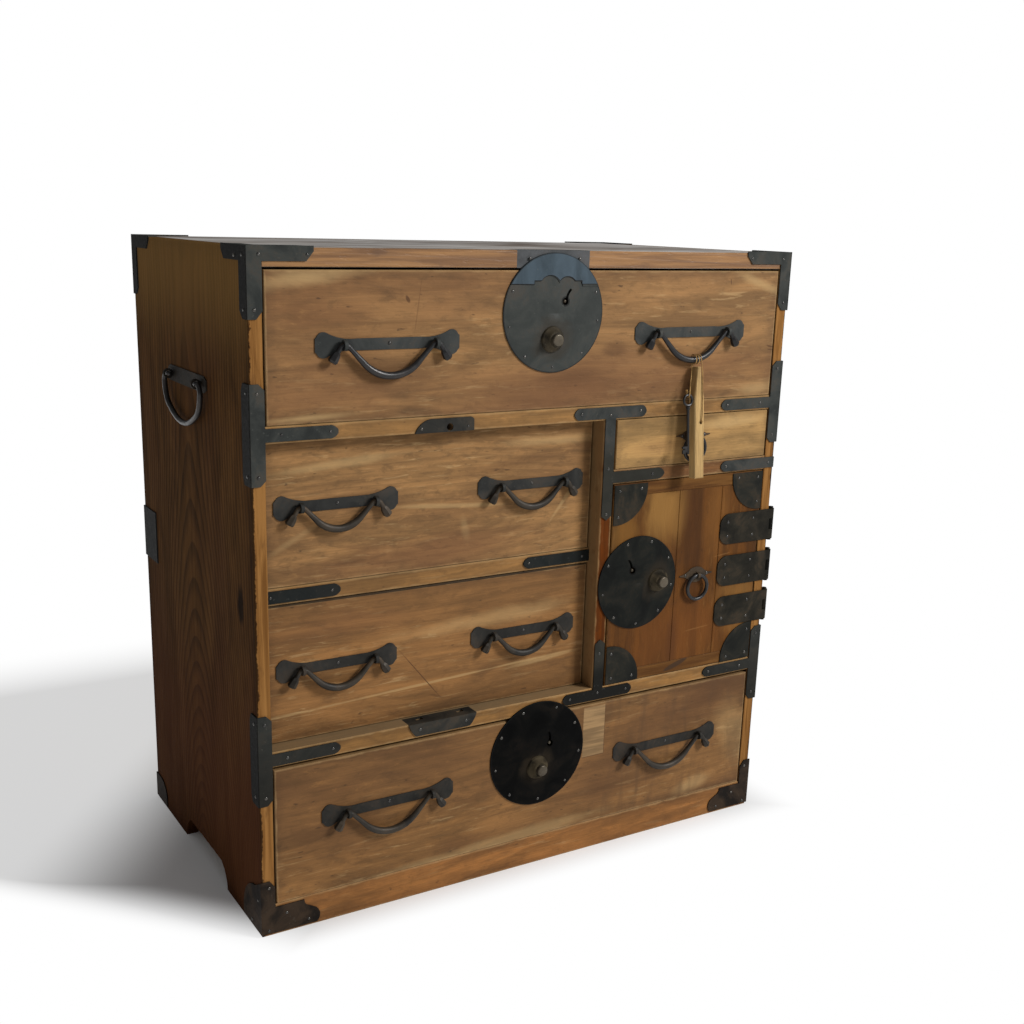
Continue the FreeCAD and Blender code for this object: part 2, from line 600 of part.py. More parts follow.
# The two kinds of bail, by the half width of the plate, the eyes' half distance and the drop.
bails = {"large": ("plateHalf", "eyeHalf", "bailDrop"),
         "small": ("smallPlateHalf", "smallEyeHalf", "smallBailDrop")}
axisStand = "(eyeStand + skinThick)"         # from a front face to a bail's hinge line


def handleMounts(label, kind, places, face):
    """Plates and staples for the bails of one drawer. places are the middles of the hinge lines."""
    half, eyes, _ = bails[kind]
    items = []
    for number, (x, z) in enumerate(places):
        name = f"{label}_{number}"
        flat = plate(f"{name}_plate", [handleLoop(x, z, half)], "skinThick", face)
        holes = [rod(f"{name}_hole_{side}", "shank", "skinThick + 2",
                     (f"{x} + {way} * {eyes}", f"({face}) - skinThick - 1", z), (0, 1, 0))
                 for side, way in (("a", -1), ("b", 1))]
        items.append(cut(f"{name}_pierced", flat, holes))
        items += [staple(f"{name}_staple_{side}", (f"{x} + {way} * {eyes}", z), "eyeOuter", "eyeInner",
                         "eyeWide", "eyeStand", "(frontThick - 2)", face)
                  for side, way in (("a", -1), ("b", 1))]
    return group(label, items)


def hang(label, shape, x, face, z, stand=axisStand):
    """Puts a bail or ring with its hinge line in front of a face."""
    item = shaped(label, shape)
    for axis, text in zip("xyz", (x, f"({face}) - {stand} + ({caseFront})", z)):
        item.setExpression(f"Placement.Base.{axis}", bind(text))
    item.Label = label
    subparts[label] = item


# ---------------------------------------------------------------- drawers
def shankHoles(kind, places):
    eyes = bails[kind][1]
    return [("circle", f"{x} + {way} * {eyes}", z, "shank") for x, z in places for way in (-1, 1)]


def drawer(name, x, top, bottom, gapAbove, face, holes):
    """A drawer front and the box behind it. x, top and bottom bound the opening; holes are the
    loops pierced through the front, each with its depth."""
    front = (f"{x[0]} + sideGap", f"{x[1]} - sideGap")
    high = (f"{bottom} + underGap", f"{top} - {gapAbove}")
    rear = f"{face} + frontThick"
    body = frontBoard(f"{name}_front", front, (face, rear), high)
    for loops, depth in holes:
        pocketed(body, "XZ_Plane", loops, depth, f"-({face})")
    finish(f"{name}_front", body)
    end = f"{backFace} - backGap"
    boxHigh = (high[0], f"{high[1]} - boxLower")
    floor = f"{boxHigh[0]} + boxBottom"
    group(f"{name}_box", [
        box(f"{name}_left", (front[0], f"{front[0]} + boxSide"), (rear, end), boxHigh),
        box(f"{name}_right", (f"{front[1]} - boxSide", front[1]), (rear, end), boxHigh),
        box(f"{name}_back", (f"{front[0]} + boxSide", f"{front[1]} - boxSide"),
            (f"{end} - boxSide", end), boxHigh),
        box(f"{name}_floor", (f"{front[0]} + boxSide", f"{front[1]} - boxSide"),
            (rear, f"{end} - boxSide"), (boxHigh[0], floor))])


flush = "-proud"                  # the flush fronts stand a little proud of the case
# Places of the bails: middle of the hinge line in x, and its height.
topBails = [("-198.5", up("95.5")), ("199.5", up("92.5"))]
upperLeftBails = [("-249", up("264")), ("-5.5", up("263"))]
lowerLeftBails = [("-249.5", up("443")), ("-10.5", up("441"))]
bottomBails = [("-196.5", up("612.5")), ("200", up("618"))]

# Locks: middle of the plate, the knob and the keyhole from there, and how the keyhole is turned.
locks = {
    "top_drawer": {"at": ("3", up("67.8")), "radius": "topLock", "knob": ("-2.2", "-28.2"),
                   "key": ("13.5", "13"), "lean": 27},
    "bottom_drawer": {"at": ("3", up("594.3")), "radius": "bottomLock", "knob": ("-1.5", "-17.1"),
                      "key": ("16", "10.8"), "lean": -10},
    "door": {"at": ("140.5", up("395.8")), "radius": "doorLock", "knob": ("29.5", "0.2"),
             "key": ("-9.8", "16.8"), "lean": -27},
}


def lockPoint(name, part):
    lock = locks[name]
    return (f"{lock['at'][0]} + {lock[part][0]}", f"{lock['at'][1]} + {lock[part][1]}")


def lockHoles(name):
    """What a lock needs through its front: a well for the button and a hole behind the keyhole."""
    return [([("circle", *lockPoint(name, "knob"), "buttonRadius + 1")], "frontThick"),
            ([("circle", *lockPoint(name, "key"), "4.5")], "keyholeDeep")]


topZ = (up("topThick"), upperRail[1])
drawer("top_drawer", (innerLeft, innerRight), *topZ, "topDrawerGap", flush,
       [(shankHoles("large", topBails), "frontThick - 1")] + lockHoles("top_drawer"))
drawer("upper_left_drawer", (innerLeft, "dividerLeft"), upperRail[0], bayRail[1], "drawerGap",
       "bayRecess", [(shankHoles("small", upperLeftBails), "frontThick - 1")])
drawer("lower_left_drawer", (innerLeft, "dividerLeft"), bayRail[0], lowerRail[1], "drawerGap",
       "bayRecess", [(shankHoles("small", lowerLeftBails), "frontThick - 1")])
smallRing = ("214", up("217.5"))
drawer("small_drawer", (dividerRight, innerRight), upperRail[0], smallRail[1], "drawerGap", flush,
       [([("circle", *smallRing, "shank")], "frontThick - 1")])
drawer("bottom_drawer", (innerLeft, innerRight), lowerRail[0], "baseRailHigh", "bottomDrawerGap",
       flush, [(shankHoles("large", bottomBails), "frontThick - 1")] + lockHoles("bottom_drawer"))

for name, kind, places, face in (("top_drawer", "large", topBails, flush),
                                 ("upper_left_drawer", "small", upperLeftBails, "bayRecess"),
                                 ("lower_left_drawer", "small", lowerLeftBails, "bayRecess"),
                                 ("bottom_drawer", "large", bottomBails, flush)):
    handleMounts(f"{name}_mounts", kind, places, face)
    _, eyes, drop = bails[kind]
    for side, (x, z) in zip(("left", "right"), places):
        hang(f"{name}_bail_{side}", sproutBail(value(eyes), value(drop)), x, face, z)


# ---------------------------------------------------------------- locks
def turned(name, profile, at, face):
    """A body turned about a line square to the front. profile is a closed run of corners (radius,
    distance forward of the face), with arcs as in a sketch."""
    body = newBody(name)
    x, z = at
    outline = sketch(body, "XY_Plane", [[(f"({x}) + ({radius})", f"({face}) - ({reach})",
                                          *(f"-({arc})" for arc in arcs))
                                         for radius, reach, *arcs in profile]], z)
    line = outline.addGeometry(Part.LineSegment(Vector(value(x), -60, 0), Vector(value(x), 60, 0)), True)
    outline.addConstraint(Sketcher.Constraint("Vertical", line))
    held = outline.addConstraint(Sketcher.Constraint("DistanceX", line, 1, value(x)))
    outline.setExpression(f"Constraints[{held}]", bind(x))
    item = body.newObject("PartDesign::Revolution", f"{name}_turning")
    item.Profile = outline
    item.ReferenceAxis = (outline, ["Axis0"])
    item.Angle = 360
    doc.recompute()
    return body


def keyholeLoop(at, lean):
    """A comma: a round hole with a slot that rises from it, leans to one side and bows back."""
    x, z = at
    tilt, bow = math.radians(lean), 1 if lean > 0 else -1

    def place(across, rise):
        return (f"{x} + {across * math.cos(tilt) + rise * math.sin(tilt):.3f}",
                f"{z} + {rise * math.cos(tilt) - across * math.sin(tilt):.3f}")
    return [(*place(-1.6, 3.7), "4.05"), (*place(-0.9, 15.6), f"{bow * 20}"), place(1.9, 15),
            (*place(1.6, 3.7), f"{-bow * 17}"), (*place(0, -4.03), "4.05")]


def domed(radius, extra="0", narrow="0"):
    """The profile of a round plate of shallow dome, from its middle round its rim and back."""
    swell = f"(({radius}) ^ 2 + (lockDome - lockRim) ^ 2) / (2 * (lockDome - lockRim))"
    return [("0", "0"), (f"{radius} - {narrow}", "0"), (f"{radius} - {narrow}", f"lockRim + {extra}"),
            ("0", f"lockDome + {extra}", f"-({swell})")]


def crescent(name, x, z, radius):
    """A thin second plate over the top of the disc. Its lower edge is straight at the shoulders,
    steps up, and runs in two arcs to a point in the middle."""
    blank = turned(f"{name}_blank", domed(radius, "crescentThick", "0.3"), (x, z), flush)
    edge = newBody(f"{name}_edge")
    padded(edge, "XZ_Plane", [[
        (f"{x} - 70", f"{z} + 32"), (f"{x} - 28", f"{z} + 31"), (f"{x} - 27", f"{z} + 35"),
        (f"{x} - 19", f"{z} + 35"), (f"{x} + 5", f"{z} + 33", "14"), (f"{x} + 26", f"{z} + 35", "13"),
        (f"{x} + 34", f"{z} + 35"), (f"{x} + 36", f"{z} + 29.5"), (f"{x} + 70", f"{z} + 29.5"),
        (f"{x} + 70", f"{z} + 70"), (f"{x} - 70", f"{z} + 70")]], "12")
    item = doc.addObject("Part::Common", name)
    item.Base = blank
    item.Tool = edge
    return item


def lockPlate(label, overlay=False):
    """An iron lock: a shallow domed disc pierced by its keyhole, the boss that guides the button,
    and the flat case of the mechanism behind the front."""
    lock = locks[label]
    (x, z), radius, knob = lock["at"], lock["radius"], lockPoint(label, "knob")
    disc = turned(f"{label}_disc", domed(radius), (x, z), flush)
    pocketed(disc, "XZ_Plane", [keyholeLoop(lockPoint(label, "key"), lock["lean"])], "lockDome + 1",
             "lockDome + 1 + proud")
    hole = rod(f"{label}_disc_hole", "bossRadius - 2", "20", (knob[0], "-15", knob[1]), (0, 1, 0))
    face = cut(f"{label}_disc_pierced", disc, [hole])
    if overlay:
        face = joined(f"{label}_disc_dressed", [face, crescent(f"{label}_crescent", x, z, radius)])
    inner = "buttonRadius + buttonClear"
    boss = turned(f"{label}_boss", [
        (inner, "0"), ("bossRadius - 2", "0"), ("bossRadius - 2", "lockDome"), ("bossRadius", "lockDome"),
        ("bossRadius - 0.6", "lockDome + 2"), ("bossRadius - 5", "bossReach - 1", "16"),
        ("bossRadius - 5.8", "bossReach"), (inner, "bossReach")], knob, flush)
    back = f"{flush} + frontThick"
    mechanism = newBody(f"{label}_lock_case")
    padded(mechanism, "XZ_Plane", [rectangle(
        (f"{knob[0]} - lockCaseWide / 2", f"{knob[0]} + lockCaseWide / 2"),
        (f"{z} - lockCaseHigh / 2", f"{z} + lockCaseHigh / 2"))], "lockCaseDeep", f"-({back})", back=True)
    return group(f"{label}_lock", [face, boss, mechanism])


lockPlate("top_drawer", overlay=True)
lockPlate("bottom_drawer")
lockPlate("door")
for name in locks:
    label = f"{name}_lock_button"
    finish(label, turned(label, [
        ("0", "-buttonInside"), ("buttonRadius", "-buttonInside"),
        ("buttonRadius", "knobReach - proud - 1.6"),
        ("buttonRadius - 1.6", "knobReach - proud - 0.3", "-1.7"), ("0", "knobReach - proud", "-60")],
        lockPoint(name, "knob"), flush))


# ---------------------------------------------------------------- the door
doorX = (f"{dividerRight} + sideGap", f"{innerRight} - sideGap")
doorZ = (f"{lowerRail[1]} + 0.8", f"{smallRail[0]} - 1")
doorY = (flush, "doorThick - proud")
boardZ = (f"{doorZ[0]} + doorBatten", f"{doorZ[1]} - doorBatten")
seams = [doorX[0], f"{doorX[0]} + 101", f"{doorX[0]} + 169", doorX[1]]
doorPieces = [frontBoard(f"door_board_{i}", (seams[i], seams[i + 1]), doorY, boardZ) for i in range(3)]
doorPieces.append(frontBoard("door_batten_low", doorX, doorY, (doorZ[0], boardZ[0])))
doorPieces.append(frontBoard("door_batten_high", doorX, doorY, (boardZ[1], doorZ[1])))
doorHoles = [rod("door_button_hole", "buttonRadius + 1", "doorThick + 2",
                 (lockPoint("door", "knob")[0], "-1", lockPoint("door", "knob")[1]), (0, 1, 0)),
             rod("door_key_hole", "4.5", "keyholeDeep + 1",
                 (lockPoint("door", "key")[0], "-1", lockPoint("door", "key")[1]), (0, 1, 0))]
doorRing = ("233", up("397"))
doorStapleHole = rod("door_staple_hole", "shank", "doorThick", (doorRing[0], "-1", doorRing[1]), (0, 1, 0))
doorPieces[0] = cut("door_board_pierced", doorPieces[0], doorHoles)
doorPieces[1] = cut("door_board_stapled", doorPieces[1], [doorStapleHole])
group("door_boards", doorPieces)


def doorCorner(name, sideways, height):
    """A quarter-round iron on one corner of the door; sideways and height are 1 or -1."""
    x = f"{doorX[0 if sideways > 0 else 1]} + 0.5 * {sideways}"
    z = f"{doorZ[0 if height > 0 else 1]} + 0.8 * {height}"
    bulge = "-" if sideways * height > 0 else ""
    loop = [(x, z), (f"{x} + doorIron * {sideways}", z),
            (f"{x} + doorIron * {sideways}", f"{z} + 6 * {height}"),
            (f"{x} + 6 * {sideways}", f"{z} + doorIron * {height}", f"{bulge}(doorIron * 0.92)"),
            (x, f"{z} + doorIron * {height}")]
    return plate(name, [loop], "skinThick", flush)


group("door_corner_irons", [doorCorner("door_iron_low_left", 1, 1), doorCorner("door_iron_low_right", -1, 1),
                            doorCorner("door_iron_high_left", 1, -1),
                            doorCorner("door_iron_high_right", -1, -1)])

hingeAxis = ("caseWidth / 2 + barrel + 0.5", f"{flush} - ironThick + barrel")
hingeTops = ("343", "398.5", "453")
third = "hingeHigh / 3"
straps, leaves, pins = [], [], []
for number, drop in enumerate(hingeTops):
    z = up(drop)
    low, high = f"{z} - hingeHigh / 2", f"{z} + hingeHigh / 2"
    notch = f"{hingeAxis[0]} - barrel - 0.5"
    flat = plate(f"hinge_strap_{number}", [[
        ("hingeStart", f"{low} + 11"), ("hingeStart + 13", low, "-14.5"), (hingeAxis[0], low),
        (hingeAxis[0], f"{low} + {third} - knuckleGap"), (notch, f"{low} + {third} - knuckleGap"),
        (notch, f"{high} - {third} + knuckleGap"), (hingeAxis[0], f"{high} - {third} + knuckleGap"),
        (hingeAxis[0], high), ("hingeStart + 13", high), ("hingeStart", f"{high} - 11", "-14.5")]],
        front=flush)
    bore = rod(f"hinge_bore_{number}", "pin + pinClear", "hingeHigh + 4", (*hingeAxis, f"{low} - 2"),
               (0, 0, 1))
    knuckles = [rod(f"strap_knuckle_{number}_{end}", "barrel", f"{third} - knuckleGap",
                    (*hingeAxis, start), (0, 0, 1))
                for end, start in (("low", low), ("high", f"{high} - {third} + knuckleGap"))]
    doorHalf = joined(f"hinge_door_whole_{number}", [flat, *knuckles])
    straps.append(cut(f"hinge_door_{number}", doorHalf, [bore]))
    leaf = newBody(f"hinge_leaf_{number}")
    clearY = f"{hingeAxis[1]} + barrel + 0.6"
    padded(leaf, "YZ_Plane", [[
        (hingeAxis[1], f"{low} + {third}"), (clearY, f"{low} + {third}"), (clearY, low),
        ("leafLong - 8", low), ("leafLong", f"{low} + 8"), ("leafLong", f"{high} - 8"),
        ("leafLong - 8", high), (clearY, high),
        (clearY, f"{high} - {third}"), (hingeAxis[1], f"{high} - {third}")]], "ironThick", right)
    knuckle = rod(f"leaf_knuckle_{number}", "barrel", third, (*hingeAxis, f"{low} + {third}"), (0, 0, 1))
    caseBore = rod(f"leaf_bore_{number}", "pin + pinClear", "hingeHigh", (*hingeAxis, low), (0, 0, 1))
    caseHalf = joined(f"hinge_case_whole_{number}", [leaf, knuckle])
    leaves.append(cut(f"hinge_case_{number}", caseHalf, [caseBore]))
    shaft = rod(f"pin_shaft_{number}", "pin", "hingeHigh + 1", (*hingeAxis, f"{low} - 0.5"), (0, 0, 1))
    heads = [rod(f"pin_head_{number}_{end}", "pinHead", "1.6", (*hingeAxis, start), (0, 0, 1))
             for end, start in (("low", f"{low} - 2"), ("high", f"{high} + 0.4"))]
    pins.append(joined(f"hinge_pin_{number}", [shaft, *heads]))
group("door_hinge_straps", straps)
group("hinge_case_leaves", leaves + pins)


# ---------------------------------------------------------------- ring pulls
def ringMount(label, at):
    """A pointed lozenge and the small staple that carries a ring."""
    x, z = at
    tip, half = "ringPlateHalf", "ringPlateHigh / 2"
    corners = [("-1", "0.08"), ("-1", "-0.08"), ("-0.35", "-1", "26"), ("0.35", "-1", "-22"),
               ("1", "-0.08", "26"), ("1", "0.08"), ("0.35", "1", "26"), ("-0.35", "1", "-22")]
    corners[0] = (*corners[0], "26")
    flat = plate(f"{label}_plate", [[(f"{x} + {tip} * {a}", f"{z} + {half} * {b}", *arc)
                                     for a, b, *arc in corners]], "skinThick", flush)
    hole = rod(f"{label}_hole", "shank", "skinThick + 2", (x, f"{flush} - skinThick - 1", z), (0, 1, 0))
    eye = staple(f"{label}_staple", at, "ringEyeOuter", "ringEyeInner", "eyeWide", "ringStand",
                 "(frontThick - 2)", flush)
    return group(label, [cut(f"{label}_pierced", flat, [hole]), eye])


def ringShape(outer, thick, sides=8):
    """A ring of flat-sided rod in the x-z plane that hangs from the middle of its highest part."""
    major = outer - thick
    section = [Vector(major + thick * math.cos(2 * math.pi * (i + 0.5) / sides),
                      thick * math.sin(2 * math.pi * (i + 0.5) / sides), -major) for i in range(sides)]
    face = Part.Face(Part.makePolygon(section + section[:1]))
    return face.revolve(Vector(0, 0, -major), Vector(0, 1, 0), 360)


for name, at in (("small_drawer", smallRing), ("door", doorRing)):
    ringMount(f"{name}_ring_mount", at)
    hang(f"{name}_ring", ringShape(value("ringOut"), value("ringRod")), at[0], flush, at[1],
         "(ringStand + skinThick)")


# ---------------------------------------------------------------- carrying handles on the sides
def onSide(item, way):
    """Turns something made for a front face at y = 0 so that it sits on the left (-1) or right (1)
    side of the case, in the middle of its depth."""
    turn = FreeCAD.Rotation(Vector(0, 0, 1), -90 if way < 0 else 90)
    item.Placement = FreeCAD.Placement(Vector(way * value(right), value("caseDepth / 2"), 0), turn)
    return item


sideZ = up("sideHandleTop")
sidePieces = []
for side, way in (("left", -1), ("right", 1)):
    name = f"{side}_side_handle"
    flat = plate(f"{name}_plate", [[
        ("-sidePlateHalf", f"{sideZ} - 5"), ("-sidePlateHalf + 8", f"{sideZ} - sidePlateHigh / 2"),
        ("sidePlateHalf - 8", f"{sideZ} - sidePlateHigh / 2"), ("sidePlateHalf", f"{sideZ} - 5"),
        ("sidePlateHalf", f"{sideZ} + 5"), ("sidePlateHalf - 8", f"{sideZ} + sidePlateHigh / 2"),
        ("-sidePlateHalf + 8", f"{sideZ} + sidePlateHigh / 2"), ("-sidePlateHalf", f"{sideZ} + 5")]],
        "skinThick")
    holes = [rod(f"{name}_hole_{end}", "shank", "skinThick + 2",
                 (f"{sign} * sideEyeHalf", "-skinThick - 1", sideZ), (0, 1, 0))
             for end, sign in (("a", -1), ("b", 1))]
    eyes = [staple(f"{name}_staple_{end}", (f"{sign} * sideEyeHalf", sideZ), "eyeOuter", "eyeInner",
                   "eyeWide", "eyeStand", "(sideThick - 2)", "0") for end, sign in (("a", -1), ("b", 1))]
    sidePieces += [onSide(piece, way) for piece in [cut(f"{name}_pierced", flat, holes), *eyes]]
    bail = shaped(f"{side}_side_bail", carryBail())
    onSide(bail, way)
    reach = value(axisStand)
    bail.Placement.Base += Vector(way * reach, value(caseFront), value(sideZ))
    bail.Label = f"{side}_side_bail"
    subparts[bail.Label] = bail
group("side_handle_mounts", sidePieces)


# ---------------------------------------------------------------- key, tag and twine
# They hang from the bottom of the top drawer's right bail and lean on the small drawer's ring.
# Each is made about the hanging point, which is the middle of the bail's rod where the twine
# goes round it.
hangZ = f"{topBails[1][1]} - bailDrop + hangRise"
lean = FreeCAD.Rotation(Vector(1, 0, 0), -value("tagTilt"))


def tilted(label, item):
    """Leans something made about the hanging point, and moves it there."""
    item.Placement.Rotation = lean
    for axis, text in zip("xyz", ("hangX", f"{flush} - {axisStand} + ({caseFront})", hangZ)):
        item.setExpression(f"Placement.Base.{axis}", bind(text))
    item.Label = label
    subparts[label] = item


tag = newBody("key_tag")
padded(tag, "XZ_Plane", [[
    ("tagShift - tagWide / 2", "-tagBottom"), ("tagShift + tagWide / 2", "-tagBottom"),
    ("tagShift + tagWide / 2", "-tagTop - tagTaper"), ("tagShift + 2.2", "-tagTop"),
    ("tagShift - 2.6", "-tagTop"), ("tagShift - tagWide / 2", "-tagTop - tagTaper")]], "tagDeep",
    "-tagDeep / 2")
eased(tag, (0, -1, 0))
pocketed(tag, "XZ_Plane", [("circle", "tagShift + 2.2", "-tagHole", "2.2")], "4.5", "tagDeep / 2")
tilted("key_tag", tag)

keyAcross = value("keyShift")
bow = ringShape(7.8, 1.6)
bow.translate(Vector(keyAcross, -2.5, -41.8))
stem = Part.makeCylinder(1.9, value("keyLong") - 20, Vector(keyAcross, -2.5, -54), Vector(0, 0, -1))
bit = Part.makeBox(8, 2.4, 9, Vector(keyAcross - 9, -3.7, -112))
tilted("key", shaped("key", bow.fuse([stem, bit])))

# A hitch of the same twine rings the rod loosely beside the windings and turns with the tag.
strand = value("twine")
hitchEdge = [Vector(-4.3 + strand * math.cos(math.pi * i / 3), 0, 5.6 + strand * math.sin(math.pi * i / 3))
             for i in range(6)]
hitch = Part.Face(Part.makePolygon(hitchEdge + hitchEdge[:1])).revolve(Vector(), Vector(1, 0, 0), 360)
tilted("twine_hitch", shaped("twine_hitch", hitch))

# The twine comes out of the tag's hole, rises on its face, winds twice round the bail and runs
# down to the key, whose bow it goes through.
wrap = 5.35                                    # from the rod's middle to the twine's
twineRoute = [Vector(*p) for p in (
    (2.7, -1.9, -76.6), (2.7, -7.0, -74.4), (4.2, -6.6, -58), (4.4, -6.6, -43), (4.4, -6.6, -28),
    (3.6, -6.6, -8.2), (2.9, -wrap, -1.5), (2.6, -wrap, wrap), (2.0, wrap, wrap),
    (1.4, wrap, -wrap), (0.2, -wrap, -wrap), (-0.5, -wrap, wrap), (-1.1, wrap, wrap),
    (-2.4, wrap, -wrap), (-5.8, 2.2, -14), (-9.6, -1.6, -23), (-13.4, -4.6, -31.5),
    (-14.7, -5.4, -44.7), (-14.7, 0.4, -44.7), (-14.1, 0.6, -36.5))]


def cordSolid(route, radius, share=0.45):
    """A tube along straight runs joined by arcs, each as large as its two runs allow."""
    edges, start, radii = [], route[0], []
    for before, here, after in zip(route, route[1:], route[2:]):
        into, out = (here - before), (after - here)
        run = min(into.Length, out.Length)
        into.normalize()
        out.normalize()
        turn = into.getAngle(out)
        back = share * run
        radii.append(back / math.tan(turn / 2))
        first, last = here - into * back, here + out * back
        inward = (out - into).normalize()
        middle = here + inward * (radii[-1] / math.cos(turn / 2) - radii[-1])
        edges += [Part.LineSegment(start, first).toShape(), Part.Arc(first, middle, last).toShape()]
        start = last
    edges.append(Part.LineSegment(start, route[-1]).toShape())
    path = Part.Wire(edges)
    section = Part.Wire(Part.Edge(Part.Circle(route[0], route[1] - route[0], radius)))
    tube = path.makePipeShell([section], True, False)
    ratio = tube.Volume / (math.pi * radius ** 2 * path.Length)
    print(f"twine: length {path.Length:.1f}, tightest arc {min(radii):.1f}, volume ratio {ratio:.4f}")
    if not 0.98 < ratio < 1.02:
        raise ValueError("the twine's tube doesn't have its section's volume")
    return tube


tilted("tag_twine", shaped("tag_twine", cordSolid(twineRoute, value("twine"))))

# ---------------------------------------------------------------- checks and files
doc.recompute()
for item in doc.Objects:
    if "Invalid" in item.State or "Error" in item.State:
        raise ValueError(f"{item.Label} failed to build: {item.State}")
os.makedirs("parts", exist_ok=True)
for label, item in subparts.items():
    shape = item.Shape
    if item.Label != label or shape.isNull() or not shape.isValid() or not shape.Solids:
        raise ValueError(f"{label} isn't a valid solid under its own name")
    shape.exportStep(f"parts/{label}.step")
print(f"{len(subparts)} sub-parts written")
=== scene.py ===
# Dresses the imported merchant's tansu: worn softwood, forged iron, nails, twine and a plain studio.
import bmesh
import bpy
import math
import random
from mathutils import Matrix, Vector


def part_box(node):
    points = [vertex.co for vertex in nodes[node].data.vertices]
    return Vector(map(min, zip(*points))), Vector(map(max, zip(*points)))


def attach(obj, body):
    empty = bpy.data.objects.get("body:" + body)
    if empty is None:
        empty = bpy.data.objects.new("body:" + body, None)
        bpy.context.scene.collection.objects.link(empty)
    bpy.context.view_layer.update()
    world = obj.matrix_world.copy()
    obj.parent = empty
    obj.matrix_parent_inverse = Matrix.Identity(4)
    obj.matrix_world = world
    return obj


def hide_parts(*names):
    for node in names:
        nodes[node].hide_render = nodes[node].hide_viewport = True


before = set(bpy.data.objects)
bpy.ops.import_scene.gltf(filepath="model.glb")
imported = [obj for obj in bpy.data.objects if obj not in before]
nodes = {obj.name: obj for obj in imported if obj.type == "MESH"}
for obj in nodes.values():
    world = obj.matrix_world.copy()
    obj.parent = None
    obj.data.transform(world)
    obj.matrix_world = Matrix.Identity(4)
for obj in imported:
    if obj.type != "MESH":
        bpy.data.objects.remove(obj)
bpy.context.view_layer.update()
scene = bpy.context.scene
print("frame loaded")

mm = 0.001
frontY = -0.185598                   # y of the plane of the case's front
caseHigh = 0.742


def spot(x, drop, back=0.0):
    # a point given in mm: across from the middle, down from the top, back from the front plane
    return Vector((x * mm, frontY + back * mm, caseHigh - drop * mm))


# The camera stands at the left, a little above the chest.
camera = {"place": (-0.773046, -1.361487, 0.775403), "turn": (75.0863, -1.5544, -31.0658),
          "lens": 44.0209, "shift": (0.00849, 0.0378)}
eye = bpy.data.objects.new("studioCamera", bpy.data.cameras.new("studioCamera"))
eye.location = camera["place"]
eye.rotation_euler = [math.radians(angle) for angle in camera["turn"]]
eye.data.lens = camera["lens"]
eye.data.sensor_width = 36
eye.data.shift_x, eye.data.shift_y = camera["shift"]
eye.data.clip_start = 0.05
scene.collection.objects.link(eye)
scene.camera = eye
print("camera placed")


def meshPiece(name, mesh, finish, smooth=True):
    # mesh is a mesh, or a bmesh that is finished and let go here
    if isinstance(mesh, bmesh.types.BMesh):
        build, mesh = mesh, bpy.data.meshes.new(name)
        bmesh.ops.recalc_face_normals(build, faces=build.faces)
        build.to_mesh(mesh)
        build.free()
    if smooth:
        for polygon in mesh.polygons:
            polygon.use_smooth = True
    mesh.materials.append(finish)
    piece = bpy.data.objects.new(name, mesh)
    scene.collection.objects.link(piece)
    return piece


def ringAt(build, centre, one, other, wide, sides):
    # points on a circle, counted from the first direction towards the other
    turns = (2 * math.pi * k / sides for k in range(sides))
    return [build.verts.new(centre + one * (wide * math.cos(turn)) + other * (wide * math.sin(turn)))
            for turn in turns]


def skinned(build, ring, following):
    # the faces between two rings
    for k in range(len(ring)):
        after = (k + 1) % len(ring)
        build.faces.new((ring[k], ring[after], following[after], following[k]))


def squareTo(line, side=None):
    # each point of a line with two directions square to it; side is what the first stays close to
    for i, point in enumerate(line):
        along = (line[min(i + 1, len(line) - 1)] - line[max(i - 1, 0)]).normalized()
        side = Vector(side) if side else along.orthogonal().normalized()
        side = (side - along * side.dot(along)).normalized()
        yield point, side, along.cross(side)


def sweptTube(build, line, radii, sides, across=None):
    # a closed tube along a line; across is a direction that stays square to the line
    rings = [ringAt(build, *place, wide, sides) for place, wide in zip(squareTo(line, across), radii)]
    for ring, following in zip(rings, rings[1:]):
        skinned(build, ring, following)
    build.faces.new(list(reversed(rings[0])))
    build.faces.new(rings[-1])


def closedRing(build, centre, axis, start, radius, thick, sides, steps, squash=None):
    # a torus about axis; squash gives each place's change of thickness
    rings = []
    for i in range(steps):
        turn = 2 * math.pi * i / steps
        out = Matrix.Rotation(turn, 3, axis) @ start
        wide = thick * (squash(turn) if squash else 1)
        rings.append(ringAt(build, centre + out * radius, out, axis, wide, sides))
    for ring, following in zip(rings, rings[1:] + rings[:1]):
        skinned(build, ring, following)


def roundedLine(corners, radii, step):
    # points along a line whose corners are turned by arcs
    line = [corners[0]]
    for before, here, after, radius in zip(corners, corners[1:], corners[2:], radii):
        into, out = (here - before).normalized(), (after - here).normalized()
        turn = into.angle(out)
        back = radius * math.tan(turn / 2)
        centre = here + (out - into).normalized() * (radius / math.cos(turn / 2))
        start = here - into * back - centre
        axis = into.cross(out).normalized()
        parts = max(2, math.ceil(turn / step))
        line += [centre + Matrix.Rotation(turn * i / parts, 3, axis) @ start for i in range(parts + 1)]
    return line + [corners[-1]]


def divided(line, gap):
    # the same line with more points on its long runs
    points = [line[0]]
    for start, end in zip(line, line[1:]):
        parts = max(1, round((end - start).length / gap))
        points += [start.lerp(end, i / parts) for i in range(1, parts + 1)]
    return points


def tone(red, green, blue):
    # a colour picked on screen, made linear
    return tuple((c / 255 / 12.92 if c <= 10 else ((c / 255 + 0.055) / 1.055) ** 2.4
                  for c in (red, green, blue))) + (1,)


